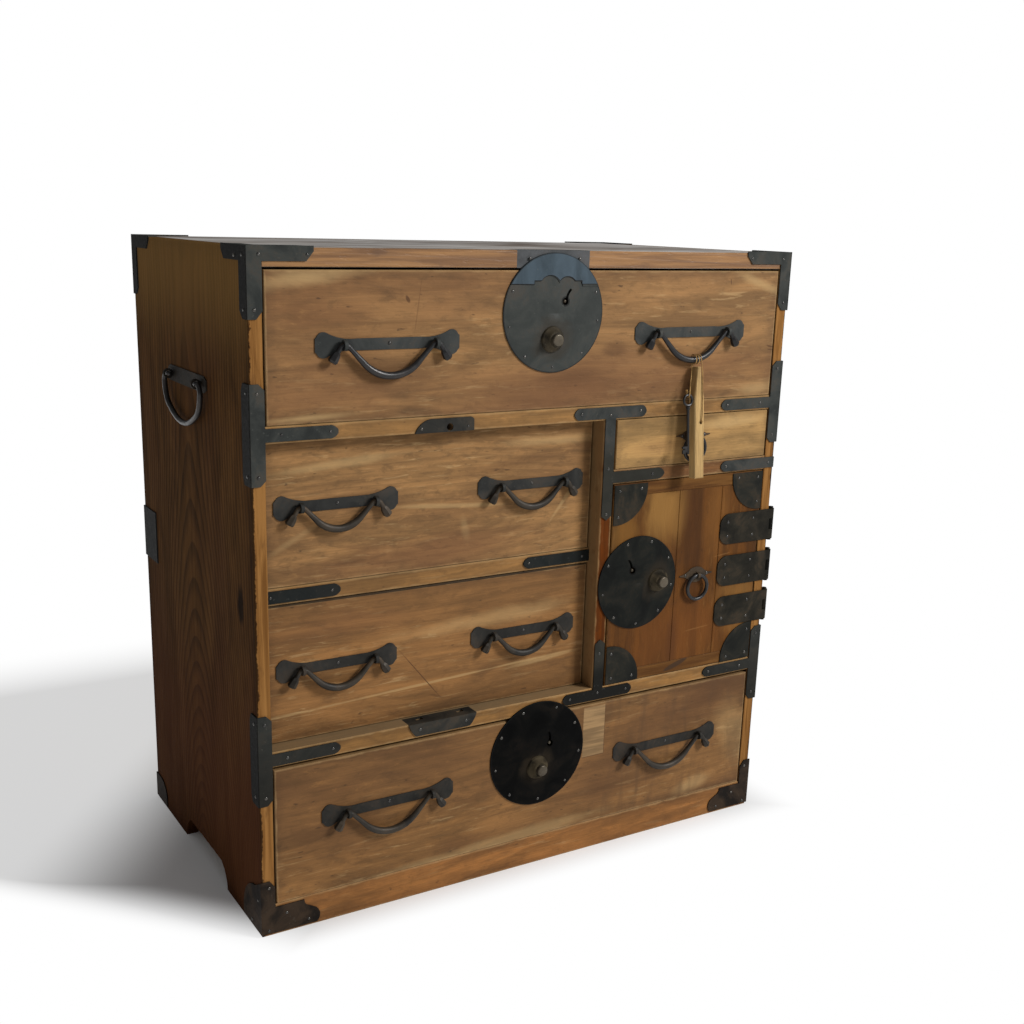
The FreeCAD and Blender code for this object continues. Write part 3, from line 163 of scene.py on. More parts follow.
def add(tree, kind, inputs=None, **settings):
    # a node with its settings, fed with fields, sockets and plain values
    item = tree.nodes.new(kind)
    for key, given in settings.items():
        setattr(item, key, given)
    for key, given in (inputs or {}).items():
        given = given.socket if isinstance(given, Field) else given
        if isinstance(given, bpy.types.NodeSocket):
            tree.links.new(given, item.inputs[key])
        else:
            item.inputs[key].default_value = given
    return item


def sums(operation, *values):
    tree = next(value.tree for value in values if isinstance(value, Field))
    return Field(add(tree, "ShaderNodeMath", dict(enumerate(values)), operation=operation).outputs[0])


class Field:
    # what a node gives out; plain arithmetic on it adds the nodes that work it out
    def __init__(self, socket):
        self.socket = socket
        self.tree = socket.id_data

    def __add__(self, other):
        return sums("ADD", self, other)

    def __sub__(self, other):
        return sums("SUBTRACT", self, other)

    def __rsub__(self, other):
        return sums("SUBTRACT", other, self)

    def __mul__(self, other):
        return sums("MULTIPLY", self, other)

    def __truediv__(self, other):
        return sums("DIVIDE", self, other)

    def __abs__(self):
        return sums("ABSOLUTE", self)


def blend(share, first, second):
    # from the first colour to the second; a plain colour is given as on screen
    colours = [tone(*colour) if isinstance(colour, tuple) else colour for colour in (first, second)]
    item = add(share.tree, "ShaderNodeMix", {0: share, 6: colours[0], 7: colours[1]}, data_type="RGBA")
    return Field(item.outputs[2])


def ramped(given, low, high):
    # from 0 at low to 1 at high, smoothly
    inputs = {"Value": given, "From Min": low, "From Max": high}
    item = add(given.tree, "ShaderNodeMapRange", inputs, interpolation_type="SMOOTHSTEP", clamp=True)
    return Field(item.outputs[0])


def laid(colour, shade, given, low, high, strength=1.0):
    # a shade over a colour where something runs from low to high
    return blend(ramped(given, low, high) * strength, colour, shade)


def cloud(place, scale, detail=3.0, rough=0.55, twist=0.0):
    inputs = {"Vector": place, "Scale": scale, "Detail": detail, "Roughness": rough, "Distortion": twist}
    return Field(add(place.tree, "ShaderNodeTexNoise", inputs).outputs["Fac"])


def streaked(run, scales, shift, detail=3.0, rough=0.55, twist=0.0):
    # noise over three numbers, each scaled and shifted
    scaled = [part * scale + move for part, scale, move in zip(run, scales, shift)]
    tree = run[0].tree
    joined = add(tree, "ShaderNodeCombineXYZ", dict(enumerate(scaled)))
    return cloud(Field(joined.outputs[0]), 1.0, detail, rough, twist)


def distance(across, up):
    return sums("SQRT", across * across + up * up)


def bumped(height, strength, deep):
    inputs = {"Strength": strength, "Distance": deep, "Height": height}
    return Field(add(height.tree, "ShaderNodeBump", inputs).outputs[0])


def newFinish(name):
    # an empty material, with the object's own coordinates as one field and as three
    material = bpy.data.materials.new(name)
    material.use_nodes = True
    tree = material.node_tree
    tree.nodes.clear()
    place = Field(add(tree, "ShaderNodeTexCoord").outputs["Object"])
    split = add(tree, "ShaderNodeSeparateXYZ", {0: place}).outputs
    return material, place, {axis: Field(split[axis.upper()]) for axis in "xyz"}


def closeFinish(colour, roughness, bump, settings):
    tree = colour.tree
    inputs = {"Base Color": colour, "Roughness": roughness, "Normal": bump, **settings}
    shader = add(tree, "ShaderNodeBsdfPrincipled", inputs)
    add(tree, "ShaderNodeOutputMaterial", {"Surface": shader.outputs[0]})


def window(given, low, high, soft):
    # 1 between two places, fading over soft at each
    return ramped(given, low - soft, low + soft) * ramped(given, high + soft, high - soft)


def edgeCloseness(pairs, box, reach, uneven):
    # 1 at the edges of a board's face, fading out over reach; pairs are (coordinate, axis index)
    nearest = None
    for part, axis in pairs:
        for bound, way in ((box[0][axis], 1), (box[1][axis], -1)):
            far = (part - bound) * way
            nearest = far if nearest is None else sums("MINIMUM", nearest, far)
    return ramped(nearest + uneven, reach, 0.0)


# Wood. tint is a board's usual colour and the rest are marks on it. The rings' heart lies pithBack behind
# the face and pithShift across it; slope and bend tip it along the grain, which draws the arches. Metres.
woodLook = {"tint": (136, 103, 62), "pale": (176, 145, 100), "grime": (52, 36, 24), "ringGap": 0.011,
            "pithBack": 0.09, "pithShift": 0.4, "alongAt": 0.0, "slope": 0.03, "bend": 0.0, "figure": 0.1,
            "fibre": 0.2, "rough": 0.4, "clouds": 0.45, "paleStreaks": 0.4, "smudges": 0.4, "ticks": 0.6,
            "edgeReach": 0.003, "edgeWear": 0.35, "edgeGrime": 0.3, "roughness": 0.66, "relief": 0.4,
            "specular": 0.16, "ringDark": 0.55, "frontAt": 0.0, "seed": 0.0}
# For each run of the grain: the axes along it, across it and into the board, and the seen face's axes.
grainAxes = {"x": ("xzy", "xz"), "z": ("zxy", "xz"), "side": ("zyx", "yz"), "top": ("xyz", "xy"),
             "box": (("run", "z", "rest"), "")}


def shaded(colour, share):
    return tuple(min(255, c * share) for c in colour)


def grainField(along, across, deep, look):
    # the ring pattern and the fibres, each from 0 to 1
    seed = look["seed"]
    drift = streaked((along, across, deep), (2.6, 7, 7), (seed, seed * 1.7, seed * 0.6), 2.0) - 0.5
    sway = streaked((along, across, deep), (9, 30, 30), (seed * 2.1, 3, seed), 2.0) - 0.5
    sideways = across - look["pithShift"] + (drift * 0.04 + sway * 0.007)
    run = along - look["alongAt"]
    tipped = run * (run * look["bend"] + look["slope"])
    far = distance(sideways, tipped + look["pithBack"] + deep)
    turn = sums("FRACT", far / look["ringGap"])
    rings = ramped(turn, 0.3, 0.88) * ramped(turn, 1.0, 0.92)
    fibres = streaked((along, across, deep), (12, 620, 620), (0, seed * 5, 0), 3.0, 0.65)
    return rings, fibres


def woodFinish(name, grain, changes, box=None, dress=None):
    look = {**woodLook, **changes}
    tint, grime = look["tint"], look["grime"]
    material, place, parts = newFinish(name)
    if grain == "box":
        parts["run"], parts["rest"] = parts["x"] + parts["y"], parts["x"] - parts["y"]
    order, faceAxes = grainAxes[grain]
    along, across, deep = (parts[key] for key in order)
    deep = deep - look["frontAt"]
    seed = look["seed"]
    run = (along, across, deep)
    rings, fibres = grainField(along, across, deep, look)
    soft = streaked(run, (6, 38, 38), (seed, seed, 0), 5.0, 0.62, 0.7)
    broad = streaked(run, (3.5, 10, 10), (seed * 2, 1, seed), 3.0, 0.55)
    mottle = streaked(run, (9, 22, 22), (seed * 3, 0, 2), 4.0, 0.62, 0.8)
    colour = blend(ramped(soft, 0.3, 0.7), shaded(tint, 1.18), shaded(tint, 0.86))
    colour = laid(colour, look.get("warm", shaded(tint, 0.72)), broad, 0.4, 0.72, look["clouds"])
    ringShare = rings * (soft * look["figure"] + look["figure"] * 0.5)
    colour = blend(ringShare, colour, shaded(tint, look["ringDark"]))
    colour = laid(colour, shaded(tint, 0.6), fibres, 0.6, 0.36, look["fibre"])
    patchy = streaked(run, (38, 95, 95), (seed, 7, 3), 6.0, 0.72, 0.4)
    colour = laid(colour, shaded(tint, 0.7), patchy, 0.5, 0.34, look["rough"])
    colour = laid(colour, shaded(tint, 1.22), patchy, 0.56, 0.7, look["rough"] * 0.7)
    streaks = streaked(run, (24, 210, 210), (seed, 4, seed), 4.0, 0.65, 0.5)
    paler = ramped(streaks, 0.56, 0.72) * ramped(broad, 0.62, 0.42) * look["paleStreaks"]
    colour = blend(paler, colour, look["pale"])
    colour = laid(colour, grime, mottle, 0.56, 0.78, look["smudges"])
    dents = streaked(run, (70, 210, 210), (1, 2, seed), 2.0)
    colour = laid(colour, grime, dents, 0.69, 0.77, look["ticks"])
    roughness = soft * 0.2 + (look["roughness"] - 0.1)
    if box is not None:
        uneven = (cloud(place, 60.0, 3.0) - 0.5) * (look["edgeReach"] * 1.8)
        pairs = [(parts[key], "xyz".index(key)) for key in faceAxes]
        grimy = edgeCloseness(pairs, box, look["edgeReach"] * 6, uneven * 4)
        colour = blend(grimy * look["edgeGrime"], colour, grime)
        worn = edgeCloseness(pairs, box, look["edgeReach"], uneven)
        colour = blend(worn * look["edgeWear"], colour, look["pale"])
    if dress:
        colour = dress(colour, parts, mottle)
    height = fibres * 0.5 - ramped(dents, 0.42, 0.3) * 0.5 + rings * 0.3
    bump = bumped(height, look["relief"], 0.0006)
    closeFinish(colour, roughness, bump, {"Specular IOR Level": look["specular"]})
    return material


def dressNode(name, finish):
    mesh = nodes[name].data
    mesh.materials.clear()
    mesh.materials.append(finish)


def wooden(node, name, grain, look, dress=None):
    # dresses a board in wood of its own, worn along the edges of its own box
    dressNode(node, woodFinish(name, grain, look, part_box(node), dress))


def mark(parts, at, size, lean=0.0, soft=0.5, uneven=None):
    # an oval mark on the front: at is across and down in mm, size its half length and half height,
    # lean in degrees
    turn = math.radians(lean)
    wide, high = size[0] * mm, size[1] * mm
    across, up = parts["x"] - at[0] * mm, parts["z"] - (caseHigh - at[1] * mm)
    a = across * (math.cos(turn) / wide) + up * (math.sin(turn) / wide)
    b = up * (math.cos(turn) / high) - across * (math.sin(turn) / high)
    far = distance(a, b)
    if uneven is not None:
        far = (uneven - 0.5) * 2.0 + far
    return ramped(far, 1 + soft, max(0.0, 1 - soft))


def marked(marks):
    # a dress that lays marks of (colour, strength, at, size, lean, softness) over a board
    def dress(colour, parts, mottle):
        for shade, strength, at, size, lean, soft in marks:
            share = mark(parts, at, size, lean, soft, mottle if soft > 0.25 else None)
            colour = blend(share * strength, colour, shade)
        return colour
    return dress


cream, umber, black, earth = (182, 152, 104), (74, 48, 28), (9, 8, 7), (98, 64, 40)
frontLooks = {
    "top_drawer": {
        "seed": 1.3, "pithShift": 0.95, "ringGap": 0.012, "tint": (129, 95, 58), "warm": (108, 72, 44),
        "clouds": 0.6, "figure": 0.08, "fibre": 0.14},
    "upper_left_drawer": {
        "seed": 4.1, "tint": (134, 99, 60), "alongAt": -0.155, "pithShift": 0.447, "pithBack": 0.0,
        "slope": 0.21, "ringGap": 0.0085, "figure": 0.22, "paleStreaks": 0.5, "rough": 0.6,
        "warm": (108, 74, 46)},
    "lower_left_drawer": {
        "seed": 7.7, "tint": (124, 87, 49), "pithShift": 0.02, "ringGap": 0.01, "figure": 0.08,
        "clouds": 0.35},
    "small_drawer": {
        "seed": 9.2, "pithShift": 0.9, "ringGap": 0.012, "tint": (146, 113, 68), "figure": 0.08,
        "clouds": 0.2, "smudges": 0.15, "pale": (160, 128, 82), "ticks": 0.3, "edgeReach": 0.002},
    "bottom_drawer": {
        "seed": 12.4, "tint": (122, 86, 48), "pithShift": 0.6, "ringGap": 0.012, "figure": 0.1,
        "rough": 0.5, "clouds": 0.7, "warm": (88, 60, 36), "smudges": 0.5}}
# the black marks behind the lock plates are painted shade seen through the keyholes
frontMarks = {
    "top_drawer": [
        (cream, 0.5, (-290, 29), (50, 8), 6, 0.8), (cream, 0.4, (304, 36), (36, 5), -18, 0.8),
        (cream, 0.45, (-290, 168), (46, 3), 2, 0.8), (cream, 0.35, (308, 164), (26, 7), 4, 0.8),
        (earth, 0.55, (60, 150), (230, 26), 3, 0.8), (earth, 0.4, (-240, 140), (80, 22), 0, 0.8),
        (umber, 0.8, (-177.5, 50), (4, 2), -60, 0.3), (umber, 0.8, (257.5, 34), (4, 0.8), -80, 0.3),
        (umber, 0.8, (328, 113), (6, 1.1), -12, 0.3), (umber, 0.7, (329, 117), (5, 0.8), -6, 0.3),
        (umber, 0.45, (88, 111), (13, 7), 0, 0.7), (umber, 0.3, (-165, 58), (22, 0.7), 82, 0.3),
        (umber, 0.35, (40, 138), (36, 8), 4, 0.8), (black, 1, (20, 47), (12, 9), 60, 0.1)],
    "upper_left_drawer": [
        (cream, 0.35, (-120, 279), (60, 2.4), -4, 0.6), (cream, 0.25, (-92, 310), (4, 12), 12, 0.8),
        (cream, 0.35, (20, 214), (46, 5), 0, 0.8), (cream, 0.35, (-250, 222), (70, 4), 5, 0.8),
        (cream, 0.2, (-300, 300), (26, 3), 28, 0.8), (cream, 0.3, (40, 288), (30, 2), 52, 0.6),
        (earth, 0.6, (-140, 330), (120, 16), 2, 0.8), (umber, 0.35, (-20, 236), (90, 5), 8, 0.8),
        (umber, 0.5, (-230, 330), (16, 3), 0, 0.7)],
    "lower_left_drawer": [
        (cream, 0.4, (-130, 486), (196, 1.5), 2.6, 0.5), (cream, 0.35, (20, 482), (50, 2.6), 4, 0.6),
        (umber, 0.85, (-147.5, 474), (44, 0.65), -50.7, 0.35),
        (umber, 0.5, (-126, 504), (9, 1.6), -20, 0.5), (cream, 0.3, (-60, 420), (90, 8), 3, 0.8),
        (earth, 0.35, (-250, 400), (70, 14), 0, 0.8)],
    "small_drawer": [
        (cream, 0.4, (270, 205), (50, 6), 3, 0.7), (earth, 0.3, (180, 228), (40, 8), 0, 0.8)],
    "bottom_drawer": [
        (cream, 0.4, (250, 690), (24, 8), 10, 0.8), (cream, 0.25, (318, 628), (22, 40), 20, 0.8),
        (umber, 0.6, (230, 575), (90, 24), 6, 0.8), (umber, 0.5, (-105, 688), (34, 9), 0, 0.8),
        (umber, 0.45, (120, 660), (80, 20), -8, 0.8), (umber, 0.3, (-250, 640), (60, 40), 12, 0.8),
        (cream, 0.3, (-60, 700), (120, 6), 2, 0.7), (black, 1, (18, 577), (13, 9), 90, 0.1)]}
repair = {"left": 70.0, "right": 102.5, "top": 549.0, "low": 615.0, "tint": (152, 122, 84)}


def bottomDress(colour, parts, mottle):
    # the let-in repair beside the lock, its joint, and the cloudier board to its right
    colour = marked(frontMarks["bottom_drawer"])(colour, parts, mottle)
    x, y, z = (parts[axis] for axis in "xyz")
    tall = streaked((x, y, z), (42, 42, 9), (3, 0, 1), 4.0, 0.6, 0.6)
    rightward = ramped(x, (repair["right"] - 0.5) * mm, (repair["right"] + 0.5) * mm)
    colour = blend(ramped(tall, 0.42, 0.68) * rightward * 0.5, colour, (82, 58, 36))
    level = caseHigh - repair["low"] * mm
    across = window(x, repair["left"] * mm, repair["right"] * mm, 0.0003)
    upright = window(z, level, caseHigh - repair["top"] * mm, 0.0003)
    lines = streaked((x, y, z), (8, 60, 130), (9, 0, 0), 3.0, 0.6)
    fresh = blend(ramped(lines, 0.4, 0.62), repair["tint"], shaded(repair["tint"], 0.74))
    colour = blend(across * upright * 0.85, colour, fresh)
    joint = window(x, (repair["right"] - 0.4) * mm, (repair["right"] + 0.4) * mm, 0.0003)
    lower = window(z, level - 0.0005, level + 0.0005, 0.0003)
    seam = sums("MAXIMUM", joint * upright, lower * across)
    return blend(seam * 0.7, colour, umber)


# a painted shadow under the rail, along the top edge of the lower left drawer's front
gapTop = (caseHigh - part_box("lower_left_drawer_front")[1].z) / mm
frontMarks["lower_left_drawer"].append((black, 0.85, (-130, gapTop + 0.6), (230, 1.5), 0, 0.15))
for name, look in frontLooks.items():
    look["frontAt"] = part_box(f"{name}_front")[0].y
    dress = bottomDress if name == "bottom_drawer" else marked(frontMarks[name])
    wooden(f"{name}_front", f"{name}Wood", "x", look, dress)
plainLook = {"tint": (176, 142, 100), "figure": 0.2, "seed": 21.0, "pale": (198, 168, 128)}
plainWood = woodFinish("boxWood", "box", plainLook)
for name in [f"{drawer}_box" for drawer in frontLooks] + ["back_boards", "bottom_board", "dust_boards"]:
    dressNode(name, plainWood)

# The sides are dark and their front edges are bare orange wood with a ragged dark outer border.
sideLook = {"tint": (78, 52, 25), "pale": (108, 78, 42), "grime": (30, 19, 11), "ringGap": 0.006,
            "pithBack": 0.474, "alongAt": 0.592, "slope": 0.0426, "bend": -0.234, "figure": 0.55,
            "ringDark": 0.4, "rough": 0.3, "fibre": 0.35, "clouds": 0.6, "warm": (70, 42, 24),
            "paleStreaks": 0.2, "smudges": 0.35, "ticks": 0.3, "edgeWear": 0.2, "edgeGrime": 0.5,
            "roughness": 0.8, "specular": 0.02, "seed": 3.0}
sideKnot = {"y": frontY + 0.042, "z": 0.373, "wide": 0.011, "high": 0.022}
edgeLook = {"light": (140, 99, 54), "dark": (104, 69, 34), "border": (34, 22, 14)}


def frontEdge(colour, parts, grainParts, outer):
    # covers what lies in the front plane with bare wood; outer is x of a side board's outer face, or None
    shown = ramped(parts["y"], frontY + 0.0009, frontY + 0.0003)
    lines = streaked(grainParts, (7, 150, 150), (2, 5, 1), 4.0, 0.6, 0.5)
    bare = blend(ramped(lines, 0.36, 0.66), edgeLook["light"], edgeLook["dark"])
    stains = streaked(grainParts, (22, 60, 60), (6, 1, 3), 3.0, 0.6)
    bare = laid(bare, umber, stains, 0.58, 0.74, 0.5)
    if outer is not None:
        inward = abs(parts["x"] - outer)
        ragged = streaked(grainParts, (60, 90, 90), (0, 0, 0), 4.0, 0.7)
        bare = laid(bare, edgeLook["border"], (ragged - 0.5) * -0.01 + inward, 0.0026, 0.001, 0.9)
    return blend(shown, colour, bare)


def sideDress(outer):
    def dress(colour, parts, mottle):
        # painted light and shade: the sides are lighter towards the top and darker towards the floor
        colour = laid(colour, (122, 92, 50), parts["z"], 0.6, 0.72, 0.5)
        colour = laid(colour, (70, 36, 20), parts["z"], 0.36, 0.12, 0.5)
        depth = (parts["y"] - sideKnot["y"]) / sideKnot["wide"]
        rise = (parts["z"] - sideKnot["z"]) / sideKnot["high"]
        far = (mottle - 0.5) * 2.0 + distance(depth, rise)
        colour = laid(colour, (14, 9, 6), far, 1.3, 0.5, 0.85 if outer < 0 else 0.0)
        return frontEdge(colour, parts, (parts["z"], parts["x"], parts["y"]), outer)
    return dress


for name, outer, shift in (("left_side", -0.350, 0.0154), ("right_side", 0.350, -0.02)):
    wooden(name, f"{name}Wood", "side", {**sideLook, "pithShift": shift}, sideDress(outer))


def topDress(colour, parts, mottle):
    # a painted grey sheen on the top, standing in for its reflection, and the bare front edge
    paintedSheen = streaked((parts["x"], parts["y"], parts["z"]), (5, 9, 9), (0, 0, 0), 4.0, 0.6, 0.5)
    colour = laid(colour, (210, 206, 202), paintedSheen, 0.3, 0.7, 0.88)
    return frontEdge(colour, parts, (parts["x"], parts["z"], parts["y"]), None)


topLook = {**sideLook, "tint": (120, 104, 88), "pithShift": 0.0, "pithBack": 0.05, "slope": 0.03,
           "bend": 0.0, "alongAt": 0.0, "figure": 0.4, "ringGap": 0.009, "roughness": 0.5,
           "specular": 0.4}
wooden("top_board", "topWood", "top", topLook, topDress)


def railDress(front):
    # behind their front faces the rails are greyer, and the hole under the upper keeper gets painted shade
    def dress(colour, parts, mottle):
        colour = laid(colour, (104, 90, 70), parts["y"], front + 0.0006, front + 0.0014, 0.55)
        return blend(mark(parts, (-131.5, 183.25), (5.5, 5.5), 0, 0.1), colour, black)
    return dress


railLooks = {"upper_rail": (156, 114, 64), "lower_rail": (144, 103, 54), "left_bay_rail": (136, 98, 54),
             "right_bay_rail": (112, 74, 38), "base_rail": (142, 94, 48)}
for number, (name, tint) in enumerate(railLooks.items()):
    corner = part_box(name)[0]
    look = {"tint": tint, "seed": 6.0 + number * 2.3, "figure": 0.3, "ringGap": 0.007, "pithBack": 0.03,
            "pithShift": corner.z - 0.02, "paleStreaks": 0.3}
    wooden(name, f"{name}Wood", "x", look, railDress(corner.y))
dividerLook = {"tint": (92, 45, 9), "warm": (80, 38, 6), "specular": 0.03, "clouds": 0.5,
               "ringGap": 0.006, "seed": 6.0, "figure": 0.3}
wooden("divider", "dividerWood", "z", dividerLook)

# The door's boards run upright between two cross battens, and each board has its own colour.
doorParts = {"highBatten": 286.0, "lowBatten": 508.0, "soft": 0.0002, "tint": (84, 50, 15)}
doorMarks = [
    ((138, 100, 50), 0.75, (178, 308), (26, 42), 4, 0.7), ((120, 84, 36), 0.5, (118, 330), (22, 34), 0, 0.7),
    ((60, 34, 12), 0.55, (226, 350), (15, 86), 3, 0.6), ((112, 72, 30), 0.6, (262, 320), (18, 46), 0, 0.7),
    ((104, 60, 22), 0.5, (205, 470), (70, 40), 0, 0.8), ((132, 94, 46), 0.5, (308, 445), (26, 40), 12, 0.7),
    ((70, 40, 18), 0.5, (200, 480), (8, 34), 0, 0.6), ((140, 100, 56), 0.3, (240, 470), (16, 0.7), 4, 0.4),
    ((140, 100, 56), 0.3, (276, 376), (14, 0.7), 6, 0.4)]


def doorDress(colour, parts, mottle):
    # the boards' own colours, then the cross battens, a worn place and painted shade where the keyhole opens
    # onto the wood
    colour = marked(doorMarks)(colour, parts, mottle)
    high, low = (caseHigh - doorParts[batten] * mm for batten in ("highBatten", "lowBatten"))
    above = ramped(parts["z"], high - doorParts["soft"], high + doorParts["soft"])
    below = ramped(parts["z"], low + doorParts["soft"], low - doorParts["soft"])
    lines = streaked((parts["x"], parts["y"], parts["z"]), (9, 80, 170), (1, 0, 4), 4.0, 0.6, 0.4)
    cross = blend(ramped(lines, 0.35, 0.65), (100, 66, 28), (74, 44, 14))
    colour = blend(sums("MAXIMUM", above, below), colour, cross)
    colour = blend(mark(parts, (209.5, 514.5), (19, 3.4), 17, 0.15) * 0.9, colour, (56, 40, 27))
    return blend(mark(parts, (127.7, 372), (12, 9), 60, 0.1), colour, black)


doorLook = {"tint": doorParts["tint"], "pale": (136, 98, 50), "warm": (70, 40, 14), "seed": 15.0,
            "pithShift": 0.2, "clouds": 0.6, "figure": 0.3, "paleStreaks": 0.3, "edgeReach": 0.0016,
            "specular": 0.1, "roughness": 0.62, "frontAt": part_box("door_boards")[0].y}
wooden("door_boards", "doorWood", "z", doorLook, doorDress)
print("wood dressed")

# Iron. Each part has its own share of black, brown and grey.
ironLook = {"dark": (38, 40, 39), "light": (60, 62, 60), "rust": (70, 52, 36), "rustShare": 0.25,
            "roughness": 0.58, "metallic": 0.0, "specular": 0.14, "relief": 0.4, "speck": 0.2,
            "seed": 0.0}


def ironFinish(name, changes, dress=None):
    look = {**ironLook, **changes}
    material, place, parts = newFinish(name)
    moved = {0: place, 1: (look["seed"], 0.3, look["seed"])}
    shifted = Field(add(place.tree, "ShaderNodeVectorMath", moved, operation="ADD").outputs[0])
    broad = cloud(shifted, 26.0, 5.0, 0.62, 0.6)
    fine = cloud(shifted, 260.0, 3.0, 0.6)
    hammered = cloud(shifted, 90.0, 2.0, 0.5)
    colour = blend(ramped(broad, 0.3, 0.7), look["dark"], look["light"])
    colour = laid(colour, look["rust"], fine * 0.35 + broad, 0.66, 0.86, look["rustShare"])
    if dress:
        colour = dress(colour, parts, broad)
    colour = laid(colour, shaded(look["light"], 1.6), fine, 0.64, 0.74, look["speck"])
    roughness = fine * 0.3 + (look["roughness"] - 0.12)
    bump = bumped(fine * 0.3 + hammered * 0.8, look["relief"], 0.0005)
    settings = {"Metallic": look["metallic"], "Specular IOR Level": look["specular"]}
    closeFinish(colour, roughness, bump, settings)
    return material


def lowerDark(colour, parts, broad):
    # the irons near the floor are browner and darker, and those on the sides carry painted shade, nearly
    # black
    colour = laid(colour, (26, 24, 20), parts["z"], 0.34, 0.16, 0.75)
    colour = laid(colour, (12, 11, 10), abs(parts["x"]), 0.3501, 0.3508, 0.92)
    brown = blend(ramped(broad, 0.38, 0.62), (24, 19, 16), (58, 45, 34))
    return laid(colour, brown, parts["z"], 0.12, 0.08, 0.8)


def railIronDress(colour, parts, broad):
    # blackest in the bay and along the bottom, browner beside the door
    stile = window(parts["x"], 0.04, 0.2, 0.004) * ramped(parts["z"], 0.535, 0.5)
    colour = blend(stile * 0.7, colour, (36, 34, 27))
    colour = laid(colour, (14, 18, 18), parts["y"], frontY + 0.014, frontY + 0.017, 0.75)
    return laid(colour, (11, 11, 10), parts["z"], 0.26, 0.23, 0.8)


# Plates, each with its seed, its dark and light tones and what else differs.
plateLooks = {
    "top_drawer_mounts": (0.0, (38, 40, 39), (60, 62, 60), {}),
    "upper_left_drawer_mounts": (1.0, (30, 30, 29), (52, 52, 49), {}),
    "lower_left_drawer_mounts": (2.5, (30, 29, 27), (50, 48, 44), {}),
    "bottom_drawer_mounts": (3.5, (25, 24, 22), (44, 42, 38), {}),
    "side_handle_mounts": (4.5, (24, 21, 17), (40, 35, 28), {"roughness": 0.7}),
    "strike_plate": (6.5, (58, 59, 60), (80, 82, 84), {}),
    "bar_keepers": (7.5, (24, 24, 23), (50, 48, 42), {}),
    "door_corner_irons": (8.5, (20, 21, 19), (40, 39, 33), {"specular": 0.07}),
    "door_hinge_straps": (9.5, (20, 19, 15), (45, 41, 33), {"specular": 0.07, "relief": 0.7}),
    "hinge_case_leaves": (9.5, (10, 10, 8), (26, 24, 19), {"specular": 0.05}),
    "small_drawer_ring_mount": (10.5, (46, 34, 24), (82, 64, 46), {}),
    "door_ring_mount": (10.5, (40, 32, 24), (72, 60, 46), {})}
for name, (seed, dark, light, others) in plateLooks.items():
    dressNode(name, ironFinish(f"{name}Iron", {"seed": seed, "dark": dark, "light": light, **others}))
caseLook = {"seed": 0.7, "specular": 0.05, "dark": (40, 42, 41), "light": (62, 64, 61)}
caseIron = ironFinish("caseIron", caseLook, lowerDark)
for name in ("corner_irons", "edge_irons"):
    dressNode(name, caseIron)
dressNode("rail_irons", ironFinish("railIron", {"seed": 1.7, "specular": 0.07}, railIronDress))
rodLooks = {
    "rodIron": {"seed": 2.0, "dark": (24, 24, 25), "light": (44, 43, 43), "roughness": 0.34,
                "metallic": 0.45, "specular": 0.5, "rustShare": 0.15, "speck": 0.1},
    "brownRodIron": {"seed": 3.2, "dark": (24, 21, 17), "light": (56, 48, 37), "roughness": 0.5,
                     "metallic": 0.15, "specular": 0.3, "relief": 0.6},
    "knobIron": {"seed": 8.0, "dark": (60, 52, 42), "light": (98, 92, 80), "rustShare": 0.4,
                 "metallic": 0.4, "roughness": 0.34},
    "nailIron": {"seed": 11.0, "dark": (44, 43, 42), "light": (84, 82, 78), "metallic": 0.6,
                 "specular": 0.6, "roughness": 0.24}}
rodIron, brownRod, knobIron, nailIron = (ironFinish(name, look) for name, look in rodLooks.items())

# The round locks: where each lies, its knob and its keyhole, and its own iron. Across, down and sizes in mm.
lockLooks = {
    "top_drawer": {
        "at": (3, 67.8), "knob": (-2.2, 28.2), "key": (13.5, -13), "reach": 65.5,
        "nails": (59.5, (-66, -104, -142, 180, 139, 99, 68, -38, 32)),
        "iron": {"seed": 5.0, "dark": (42, 45, 43), "light": (58, 60, 57)}},
    "bottom_drawer": {
        "at": (3, 594.3), "knob": (-1.5, 17.1), "key": (16, -10.8), "reach": 66.5,
        "nails": (60.5, (-60, -100, -140, 178, 137, 98, 60, -22, 24)),
        "iron": {"seed": 5.8, "dark": (4, 4, 4), "light": (13, 13, 12), "specular": 0.03,
                 "rustShare": 0.05, "speck": 0.05}},
    "door": {
        "at": (140.5, 395.8), "knob": (29.5, -0.2), "key": (-9.8, -16.8), "reach": 58.7,
        "nails": (53, (-60, -100, -140, 180, 140, 100, 60, -20, 20)),
        "iron": {"seed": 6.6, "dark": (13, 14, 13), "light": (26, 28, 25), "specular": 0.06,
                 "rustShare": 0.1}}}
bossLook = {"dark": (30, 27, 21), "light": (66, 58, 44), "radius": 14.8}
# the crescent's light and dark blues are a painted reflection, and its edge tone is a painted shadow line
# under the plate
crescentLook = {"light": (61, 74, 83), "dark": (43, 54, 61), "edge": (16, 17, 18), "low": 31.2,
                "bumps": ((-7.0, 26.8, 14.0), (15.4, 26.6, 13.0)), "step": (3.5, 12.0, 30.8, 23.0)}


def lockDress(place):
    def dress(colour, parts, broad):
        x, drop = place["at"]
        boss = (x + place["knob"][0], drop + place["knob"][1])
        key = (x + place["key"][0], drop + place["key"][1])
        around = mark(parts, boss, (bossLook["radius"] * 1.5,) * 2, 0, 0.3, broad)
        colour = blend(around * 0.45, colour, (52, 44, 34))
        rough = blend(ramped(broad, 0.4, 0.6), bossLook["dark"], bossLook["light"])
        colour = blend(mark(parts, boss, (bossLook["radius"],) * 2, 0, 0.02), colour, rough)
        rim = mark(parts, (x, drop), (place["reach"] - 1.1,) * 2, 0, 0.008)
        colour = blend((1.0 - rim) * 0.7, colour, (20, 21, 21))
        # painted shade in and around the keyhole
        return blend(mark(parts, key, (5.6, 5.6), 0, 0.12) * 0.8, colour, black)
    return dress


